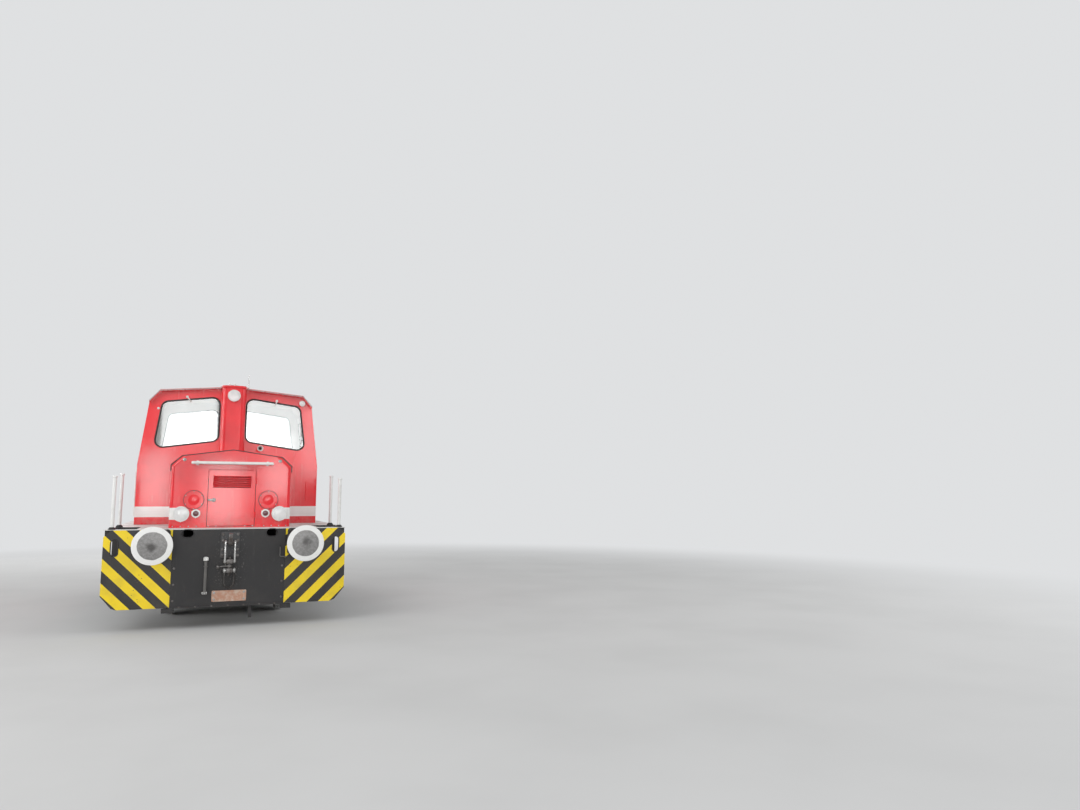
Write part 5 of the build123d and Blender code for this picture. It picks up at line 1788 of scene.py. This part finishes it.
@dataclass
class DuctTrim(Assembly):
    """Base collar, outlet ring and knobs of the exhaust duct."""

    half: float = 0.175
    far_y: float = 1.19
    outlet_y: float = -1.08
    outlet: Profile = ((0.0, 0.0585), (0.05, 0.0585), (0.052, 0.078), (0.058, 0.078), (0.060, 0.074),
                       (0.060, 0.057), (0.0, 0.055))
    knob_xs: Pair = (-0.066, 0.004)
    knob_y: float = -1.172
    knob: Profile = ((0.0, 0.012), (0.012, 0.010), (0.016, 0.017), (0.028, 0.017), (0.033, 0.010),
                     (0.034, 0.0004))

    def build(self) -> None:
        """Make the collar, ring and knobs."""
        collar = self.piece("duct_collar", "plain_red", Slot.RED)
        wide, far, near = self.half + 0.012, -self.far_y - 0.012, -self.cab_y - 0.001
        edge = rounded(((wide, far), (wide, near), (-wide, near), (-wide, far)), 0.012, 3)
        for level, radius in ((self.hood_ridge_z + 0.008, 0.010), (self.cab_ridge_z - 0.028, 0.006)):
            collar.tube([(x, y, level) for x, y in edge], radius, 10, closed=True, normal=UP)
        collar.finish()
        outlet = self.piece("duct_outlet", "worn_steel", Slot.WORN)
        outlet.lathe((0.0, self.outlet_y, self.cab_ridge_z - 0.05), UP, self.outlet, 48)
        outlet.finish()
        knobs = self.piece("duct_knobs", "white_enamel", Slot.WHITE)
        for x in self.knob_xs:
            knobs.lathe((x, self.knob_y, self.cab_ridge_z), UP, self.knob, 20)
        knobs.finish()


@dataclass
class HornAndAerial(Assembly):
    """The horn on the cab's front wall and the whip aerial."""

    place: Point = (0.405, -1.01, 2.39)
    length: float = 0.15
    mouth_r: float = 0.046
    foot: Profile = ((0.0, 0.030), (0.006, 0.030), (0.009, 0.024), (0.045, 0.022))
    throat: Profile = ((0.0, 0.021), (0.0012, 0.021), (0.0015, 0.0003))
    aerial: Point = (0.205, -1.01, 3.311)
    aerial_height: float = 0.22

    def bell_profile(self) -> list[Pair]:
        """The bell's outside and inside, out from its back."""
        flare = [(self.length * share, 0.017 + (self.mouth_r - 0.019) * share ** 3.2)
                 for share in (0.0, 0.2, 0.4, 0.55, 0.68, 0.78, 0.87, 0.94, 1.0)]
        inner = [(along, radius - 0.0035) for along, radius in reversed(flare[3:])]
        return [(0.0, 0.010), *flare[:-1], (self.length - 0.002, self.mouth_r - 0.001),
                (self.length, self.mouth_r - 0.004), *inner]

    def build(self) -> None:
        """Make the bell, its dark throat and the whip."""
        x, y, z = self.place
        out = End.FRONT.out
        bell = self.piece("horn_bell", "white_enamel", Slot.HORN)
        bell.lathe(self.place, out, self.bell_profile(), 56)
        bell.lathe((x, -self.cab_y, z), out, self.foot, 32)
        throat = self.piece("horn_throat", "rubber", Slot.HORN)
        throat.lathe((x, y - self.length + 0.032, z), out, self.throat, 40)
        whip = self.piece("aerial_whip", "bright_steel", Slot.HORN)
        whip.lathe(self.aerial, UP, [(0.0, 0.009), (0.012, 0.009), (0.02, 0.0075), (0.05, 0.0075),
                                     (self.aerial_height - 0.02, 0.0065), (self.aerial_height, 0.005)], 20)
        for made in (bell, throat, whip):
            made.finish("horn_and_aerial")


@dataclass
class RunningGear(Assembly):
    """Nuts, oil cups and hub caps on the wheels, cranks and rods, and the sand pipes."""

    axle_y: float = 1.25
    axle_z: float = 0.503
    throw: float = 0.25
    boss_x: float = 0.83
    jackshaft_out: float = 0.02
    pin_x: float = 0.949
    pin_cap: Profile = ((-0.002, 0.052), (0.004, 0.050), (0.006, 0.036))
    hub_cap: Profile = ((-0.002, 0.090), (0.004, 0.089), (0.007, 0.082), (0.007, 0.045), (0.010, 0.042),
                        (0.011, 0.0004))
    hub_bolts_r: float = 0.066
    rod_x: float = 0.892
    rod_face_x: float = 0.922
    cup_up: float = 0.083
    cup: Profile = ((0.0, 0.020), (0.006, 0.020), (0.008, 0.013), (0.016, 0.013), (0.018, 0.018),
                    (0.032, 0.018), (0.036, 0.012), (0.038, 0.0004))
    bush: Profile = ((-0.004, 0.062), (0.002, 0.061), (0.003, 0.058), (0.003, 0.0462), (-0.004, 0.0462))
    cranks: tuple[tuple[Side, Body, float], ...] = ((Side.LEFT, Body.LEFT_ROD, 225.0),
                                                    (Side.RIGHT, Body.RIGHT_ROD, 315.0))
    sand_pipe: tuple[Point, ...] = (
        (0.79, 1.86, 0.85), (0.79, 1.86, 0.42), (0.755, 1.72, 0.14), (0.75, 1.66, 0.085))
    sand_cone: Profile = ((0.0, 0.05), (0.03, 0.03), (0.05, 0.02))

    def nuts(self) -> None:
        """Cap the crankpins and hubs of the turning parts."""
        shafts = ((Body.FRONT_WHEELS, -self.axle_y), (Body.JACKSHAFT, 0.0), (Body.REAR_WHEELS, self.axle_y))
        for body, y in shafts:
            nuts = self.piece(f"{body.value}_nuts", "oiled_steel", Slot.WORN, body)
            hub_x = self.boss_x + (self.jackshaft_out if body is Body.JACKSHAFT else 0.0)
            for side, _, angle in self.cranks:
                turn = math.radians(angle)
                pin = side.at(self.pin_x, y + self.throw * math.cos(turn),
                              self.axle_z + self.throw * math.sin(turn))
                nuts.lathe(pin, side.out, self.pin_cap, 36)
                nuts.bolt(pin, side.out, 0.030)
                nuts.lathe(side.at(hub_x, y, self.axle_z), side.out, self.hub_cap, 48)
                for swing in whole_turn(6):
                    place = side.at(hub_x + 0.003, y + self.hub_bolts_r * math.cos(turn + swing),
                                    self.axle_z + self.hub_bolts_r * math.sin(turn + swing))
                    nuts.bolt(place, side.out, 0.007)
            nuts.finish()

    def rods(self) -> None:
        """Fit the rods with oil cups and bushes."""
        for side, body, angle in self.cranks:
            turn = math.radians(angle)
            z = self.axle_z + self.throw * math.sin(turn)
            cups = self.piece(f"{body.value}_oil_cups", "brass", Slot.WORN, body)
            bushes = self.piece(f"{body.value}_bushes", "brass", Slot.WORN, body)
            for axle in (-self.axle_y, 0.0, self.axle_y):
                y = axle + self.throw * math.cos(turn)
                cups.lathe(side.at(self.rod_x, y, z + self.cup_up), UP, self.cup, 24)
                bushes.lathe(side.at(self.rod_face_x, y, z), side.out, self.bush, 48)
            cups.finish()
            bushes.finish()

    def sand_pipes(self) -> None:
        """Hang a sand pipe before each wheel."""
        pipes = self.piece("sand_pipes", "worn_steel", Slot.WORN)
        top_x, top_y, top_z = self.sand_pipe[0]
        for side in Side:
            for end in End:
                path = [side.at(x, end.value * y, z) for x, y, z in self.sand_pipe]
                pipes.tube(arc_path(path, 0.06), 0.014, 14)
                pipes.lathe(side.at(top_x, end.value * top_y, top_z + 0.01), DOWN, self.sand_cone, 24)
        pipes.finish()

    def build(self) -> None:
        """Make the small parts."""
        self.nuts()
        self.rods()
        self.sand_pipes()


@dataclass
class UnderFrame(Assembly):
    """Tread bars, tank bands and small fittings below the deck."""

    corner_x: float = 1.278
    corner_treads: Pair = (0.5, 0.86)
    corner_bars: Row = (2.02, 0.095, 9)
    corner_bar: Point = (0.27, 0.010, 0.007)
    ladder_x: float = 1.30
    ladder_treads: Pair = (0.43, 0.79)
    ladder_bars: Row = (-0.24, 0.096, 6)
    ladder_bar: Point = (0.24, 0.010, 0.007)
    tank: Point = (1.02, 0.8, 1.083)
    tank_half: float = 0.31
    band: Profile = ((0.0, 0.1495), (0.001, 0.1535), (0.039, 0.1535), (0.04, 0.1495))
    tank_end: Profile = ((-0.001, 0.148), (0.006, 0.142), (0.016, 0.12), (0.024, 0.08), (0.027, 0.03),
                         (0.0275, 0.0004))
    drain: Profile = ((0.0, 0.016), (0.02, 0.016), (0.022, 0.01), (0.035, 0.01))

    def treads(self) -> None:
        """Lay the bars of the steps."""
        bars = self.piece("tread_bars", "worn_steel", Slot.WORN)
        for side in Side:
            for end in End:
                for z in self.corner_treads:
                    for y in row(*self.corner_bars):
                        bars.box(side.at(self.corner_x, end.value * y, z + 0.003), self.corner_bar, 0.002)
            for z in self.ladder_treads:
                for y in row(*self.ladder_bars):
                    bars.box(side.at(self.ladder_x, y, z + 0.003), self.ladder_bar, 0.002)
        bars.finish()

    def tanks(self) -> None:
        """Band the air tanks, close their ends and fit the drains."""
        bands = self.piece("tank_bands", "worn_steel", Slot.WORN)
        caps = self.piece("tank_fittings", "brass", Slot.WORN)
        tank_x, tank_y, z = self.tank
        for side in Side:
            x, y = side.value * tank_x, side.value * tank_y
            for along in (-0.2, 0.2):
                bands.lathe((x, y + along - 0.02, z), ALONG, self.band, 56)
            for end in End:
                bands.lathe((x, y + end.value * self.tank_half, z), end.out, self.tank_end, 48)
            caps.lathe((x, y, z - 0.15), DOWN, self.drain, 20)
            caps.box((x + 0.012, y, z - 0.172), (0.05, 0.008, 0.008), 0.002)
        bands.finish()
        caps.finish()

    def build(self) -> None:
        """Make the fittings."""
        self.treads()
        self.tanks()


@dataclass(frozen=True)
class Cushion:
    """The place, the size and the channels of one seat pad."""

    kind: str
    y: float
    z: float
    size: Point
    spin: Matrix
    channels: tuple[float, ...]


@dataclass
class Interior(Assembly):
    """Desk instruments and padded seats in the cab."""

    desk_slope: Point = (0.0, 0.13, 0.164)
    gauges: Row = (-0.32, 0.16, 5)
    gauge_y: float = -0.642
    gauge_z: float = 2.186
    bezel: Profile = ((-0.004, 0.062), (0.016, 0.060), (0.020, 0.055), (0.016, 0.050))
    dial: Profile = ((0.010, 0.0505), (0.0135, 0.050), (0.0138, 0.0004))
    desk_z: float = 2.25
    lever_xs: Pair = (-0.22, 0.26)
    lever_foot: Profile = ((0.0, 0.045), (0.01, 0.045), (0.02, 0.025), (0.03, 0.02))
    lever: tuple[Point, ...] = ((0.0, -0.82, 2.27), (0.01, -0.80, 2.35), (0.02, -0.775, 2.40))
    switches: Row = (-0.06, 0.045, 6)
    switch: Profile = ((0.0, 0.014), (0.008, 0.014), (0.012, 0.009), (0.018, 0.008))
    seat_x: float = 0.82
    seat_y: float = 0.56
    seat_z: float = 1.698
    lean: float = math.radians(-6.0)
    pedestal_z: float = 1.262
    pedestal: Profile = ((0.0, 0.10), (0.02, 0.09), (0.04, 0.052), (0.20, 0.050), (0.205, 0.042),
                         (0.385, 0.042), (0.39, 0.052))

    def desk(self) -> None:
        """Fit the desk with gauges, switches and levers."""
        black = self.piece("desk_bezels", "black_plastic", Slot.DESK)
        white = self.piece("desk_dials", "white_enamel", Slot.DESK)
        levers = self.piece("desk_levers", "bright_steel", Slot.WORN)
        face = Vector(self.desk_slope).normalized()
        for step, x in enumerate(row(*self.gauges)):
            place = (x, self.gauge_y, self.gauge_z)
            black.lathe(place, face, self.bezel, 40)
            white.lathe(place, face, self.dial, 40)
            black.box(tuple(Vector(place) + face * 0.0155), (0.004, 0.003, 0.06), 0.001,
                      Matrix.Rotation(0.5 * step - 0.8, 3, face))
        for x in self.lever_xs:
            levers.lathe((x, -0.82, self.desk_z), UP, self.lever_foot, 32)
            levers.tube([(x + out, y, z) for out, y, z in self.lever], 0.009, 12)
            black.knob((x + 0.02, -0.77, 2.412), 0.026)
        for x in row(*self.switches):
            black.lathe((x, -0.80, self.desk_z), UP, self.switch, 18)
        for made in (black, white, levers):
            made.finish()

    def pad_pair(self, pad: Cushion, piping: Piece) -> None:
        """Make the left seat's pad and its copy on the right, with piping round both.

        Args:
            pad: The pad's place, size and channels.
            piping: Piece that takes the piping.
        """
        where = Matrix.Translation((-self.seat_x, pad.y, pad.z)) @ pad.spin
        slack = self.piece(f"left_seat_{pad.kind}", "seat_leather", Slot.LEATHER)
        slack.pad(where, pad.size)
        left = slack.finish("seats")
        seam = Upholstery().fill(left, where, pad.size, pad.channels)
        apart = Matrix.Translation((2 * self.seat_x, 0.0, 0.0))
        right = left.copy()
        right.name, right.data = f"right_seat_{pad.kind}", left.data.copy()
        right.data.transform(apart)
        bpy.context.scene.collection.objects.link(right)
        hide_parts("seats")
        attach(right, Body.CHASSIS.value)
        face = tuple(pad.spin.to_3x3() @ Vector(UP))
        for made, shift in ((left, Matrix()), (right, apart)):
            piping.tube([shift @ point for point in seam], 0.0045, 8, closed=True, normal=face)

    def seats(self) -> None:
        """Make the cushions, their piping, shells and pedestals."""
        turn = Matrix.Rotation(self.lean, 3, "X")
        back_turn = turn @ Matrix.Rotation(math.radians(90.0), 3, "X")
        frame = self.piece("seat_frames", "black_plastic", Slot.LEATHER)
        piping = self.piece("seat_piping", "rubber", Slot.LEATHER)
        for pad in (Cushion("cushion", self.seat_y - 0.002, self.seat_z + 0.002, (0.440, 0.412, 0.076),
                            Matrix(), (-0.35, 0.35)),
                    Cushion("back", self.seat_y + 0.248, self.seat_z + 0.275, (0.420, 0.540, 0.066),
                            back_turn.to_4x4(), (-0.5, 0.0, 0.5))):
            self.pad_pair(pad, piping)
        for side in Side:
            x = side.value * self.seat_x
            frame.box((x, self.seat_y, self.deck_z + 0.006), (0.30, 0.30, 0.012), 0.004)
            frame.lathe((x, self.seat_y, self.pedestal_z), UP, self.pedestal, 36)
            frame.box((x, self.seat_y, self.seat_z - 0.041), (0.40, 0.37, 0.016), 0.006)
            frame.box((x, self.seat_y + 0.208, self.seat_z + 0.03), (0.10, 0.03, 0.16), 0.008, turn)
        frame.finish("seats")
        piping.finish("seats")

    def build(self) -> None:
        """Fit out the cab."""
        self.desk()
        self.seats()


@dataclass
class EngineDetail(Assembly):
    """Covers, pipes and radiator round the engine under the front hood."""

    cover_x: float = 0.17
    cylinders: Row = (-2.20, 0.18, 6)
    cylinder_out: float = 0.06
    port: Profile = ((0.36, 1.78), (0.42, 1.78), (0.42, 1.70))
    manifold_ys: tuple[float, ...] = (-2.24, -1.7, -1.20)
    slats: Row = (1.32, 0.0245, 26)

    def build(self) -> None:
        """Make the parts."""
        grey = self.piece("rocker_covers", "engine_grey", Slot.ENGINE)
        steel = self.piece("engine_pipes", "worn_steel", Slot.WORN)
        for side in Side:
            x = side.value * self.cover_x
            grey.box((x, -1.745, 1.925), (0.22, 1.06, 0.055), 0.018)
            for y in row(*self.cylinders):
                grey.box((x, y, 1.952), (0.18, 0.02, 0.012), 0.004)
                steel.bolt((x + 0.09, y + 0.09, 1.952), UP, 0.008)
                port = [side.at(out, y + self.cylinder_out, z) for out, z in self.port]
                steel.tube(arc_path(port, 0.03), 0.022, 14)
                grey.box(side.at(0.365, y + self.cylinder_out, 1.55), (0.03, 0.11, 0.22), 0.008)
            steel.tube([side.at(0.42, y, 1.69) for y in self.manifold_ys], 0.036, 20)
        steel.finish()
        grey.finish()
        core = self.piece("radiator", "black_plastic", Slot.ENGINE)
        core.box((0.0, -2.43, 1.63), (0.52, 0.05, 0.66), 0.006)
        for z in row(*self.slats):
            core.box((0.0, -2.457, z), (0.50, 0.004, 0.006), 0.001)
        core.finish()


@dataclass(frozen=True)
class SoftLight:
    """One rectangular light."""

    name: str
    place: Point
    target: Point
    size: Pair
    radiance: float

    def hang(self) -> None:
        """Hang it, hidden from the camera."""
        data = bpy.data.lights.new(self.name, "AREA")
        data.shape = "RECTANGLE"
        data.size, data.size_y = self.size
        data.energy = self.radiance * math.pi * self.size[0] * self.size[1]
        made = bpy.data.objects.new(self.name, data)
        made.visible_camera = False
        turn = (Vector(self.target) - Vector(self.place)).to_track_quat("-Z", "Y").to_matrix().to_4x4()
        made.matrix_world = Matrix.Translation(self.place) @ turn
        bpy.context.scene.collection.objects.link(made)


@dataclass
class Stage:
    """Floor, lights and the camera at the photographed angle."""

    camera_place: Point = (-0.2651, -14.0412, 1.6601)
    camera_right: Point = (0.92547, -0.37881, 0.0017)
    camera_ahead: Point = (0.37615, 0.91948, 0.11434)
    lens: float = 26.67
    sensor: float = 36.0
    clip_end: float = 500.0
    floor_half: float = 90.0
    floor_tones: tuple[Colour, Colour] = ((0.60, 0.60, 0.595), (0.56, 0.56, 0.555))
    fade: Pair = (36.0, 300.0)
    backdrop: Colour = (0.74, 0.75, 0.76)
    sky: Colour = (0.93, 0.94, 0.95)
    sky_strength: float = 0.68
    lamps: tuple[SoftLight, ...] = (
        SoftLight("key", (-8.0, -11.0, 8.5), (0.0, -1.5, 1.6), (6.0, 6.0), 4.4),
        SoftLight("fill", (16.0, -10.0, 9.0), (0.0, 0.0, 1.6), (8.0, 7.0), 3.9),
        SoftLight("rear", (-3.0, 13.0, 7.0), (0.0, 0.0, 1.6), (8.0, 5.0), 3.4),
        SoftLight("cab", (0.0, 0.0, 3.18), (0.0, 0.0, 1.0), (1.0, 1.0), 1.3),
        SoftLight("left_strip_front", (-16.0, -10.8, 4.9), (0.0, -5.4, 2.0), (0.9, 6.6), 12.0),
        SoftLight("left_strip_middle", (-16.0, -5.4, 4.9), (0.0, -2.7, 2.0), (0.9, 6.6), 12.0),
        SoftLight("left_strip_rear", (-16.0, 0.0, 4.9), (0.0, 0.0, 2.0), (0.9, 6.6), 12.0),
        SoftLight("low_softbox_left", (-2.5, -26.0, 2.3), (-1.5, 0.0, 2.0), (1.3, 2.6), 8.5),
        SoftLight("low_softbox_middle", (0.2, -26.0, 1.8), (0.1, 0.0, 2.0), (1.5, 2.6), 8.0),
        SoftLight("low_softbox_right", (2.3, -26.0, 2.4), (1.4, 0.0, 2.0), (1.1, 1.6), 8.5),
        SoftLight("high_softbox_left", (-1.25, -26.0, 4.8), (-0.7, 0.0, 2.5), (2.2, 2.5), 2.8),
        SoftLight("high_softbox_right", (2.25, -26.0, 4.8), (1.3, 0.0, 2.5), (2.4, 2.5), 2.8),
        SoftLight("high_softbox_edge", (3.95, -26.0, 4.2), (2.4, 0.0, 2.5), (0.8, 3.4), 7.5))

    def camera(self) -> None:
        """Place the camera."""
        data = bpy.data.cameras.new("camera")
        data.lens, data.sensor_width, data.sensor_fit = self.lens, self.sensor, "HORIZONTAL"
        data.clip_end = self.clip_end
        made = bpy.data.objects.new("camera", data)
        ahead = Vector(self.camera_ahead).normalized()
        right = (Vector(self.camera_right) - ahead * ahead.dot(Vector(self.camera_right))).normalized()
        up = right.cross(ahead)
        turn = Matrix((right, up, -ahead)).transposed().to_4x4()
        made.matrix_world = Matrix.Translation(self.camera_place) @ turn
        bpy.context.scene.collection.objects.link(made)
        bpy.context.scene.camera = made

    def floor(self) -> None:
        """Lay the floor, which fades into the backdrop where the camera sees it far off."""
        shader = Shader("floor")
        tone = shader.noise(0.6, 4.0).ramp(0.3, 0.8)
        colour = shader.mix(tone, *self.floor_tones)
        x, y, _ = shader.axes()
        rays = shader.node("ShaderNodeLightPath")
        camera, glass = (Signal(shader, rays.outputs[name])
                         for name in ("Is Camera Ray", "Is Transmission Ray"))
        far = (x ** 2.0 + y ** 2.0).ramp(*self.fade) * (camera + glass)
        material = shader.dress(Base_Color=shader.mix(far, colour, BLACK), Roughness=0.85,
                                Specular_IOR_Level=0.0, Emission_Strength=1.0,
                                Emission_Color=shader.mix(far, BLACK, self.backdrop))
        data = bpy.data.meshes.new("floor")
        corners = [(x * self.floor_half, y * self.floor_half, 0.0) for x, y in SQUARE]
        data.from_pydata(corners, [], [(0, 1, 2, 3)])
        data.materials.append(material)
        made = bpy.data.objects.new("floor", data)
        bpy.context.scene.collection.objects.link(made)

    def world(self) -> None:
        """Set the world: a soft sky that lights, and the backdrop that the camera sees."""
        world = bpy.data.worlds.new("studio")
        world.use_nodes = True
        nodes, links = world.node_tree.nodes, world.node_tree.links
        nodes.clear()
        path = nodes.new("ShaderNodeLightPath")
        seen = nodes.new("ShaderNodeMath")
        seen.operation = "MAXIMUM"
        links.new(path.outputs["Is Camera Ray"], seen.inputs[0])
        links.new(path.outputs["Is Transmission Ray"], seen.inputs[1])
        mixed = nodes.new("ShaderNodeMixShader")
        links.new(seen.outputs[0], mixed.inputs[0])
        for slot, (colour, strength) in enumerate(((self.sky, self.sky_strength), (self.backdrop, 1.0)), 1):
            light = nodes.new("ShaderNodeBackground")
            light.inputs[0].default_value, light.inputs[1].default_value = (*colour, 1.0), strength
            links.new(light.outputs[0], mixed.inputs[slot])
        links.new(mixed.outputs[0], nodes.new("ShaderNodeOutputWorld").inputs[0])
        bpy.context.scene.world = world

    def build(self) -> None:
        """Set the stage."""
        self.camera()
        self.floor()
        for lamp in self.lamps:
            lamp.hang()
        self.world()
        bpy.context.scene.view_settings.view_transform = "Standard"


def main() -> None:
    """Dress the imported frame, piece by piece."""
    logging.basicConfig(level=logging.INFO, format="%(message)s")
    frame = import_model()
    finishes = Finishes()
    trims = (Buffers, DrawGear, BrakePipes, Lamps, Handrails, Headstocks, HoodTrim, CabTrim, DuctTrim,
             HornAndAerial, RunningGear, UnderFrame, Interior, EngineDetail)
    for assembly in (Stage(), Carried(finishes, frame["nodes"]), *(kind(finishes) for kind in trims)):
        assembly.build()
        log.info("built %s", type(assembly).__name__)


if __name__ == "__main__":
    main()
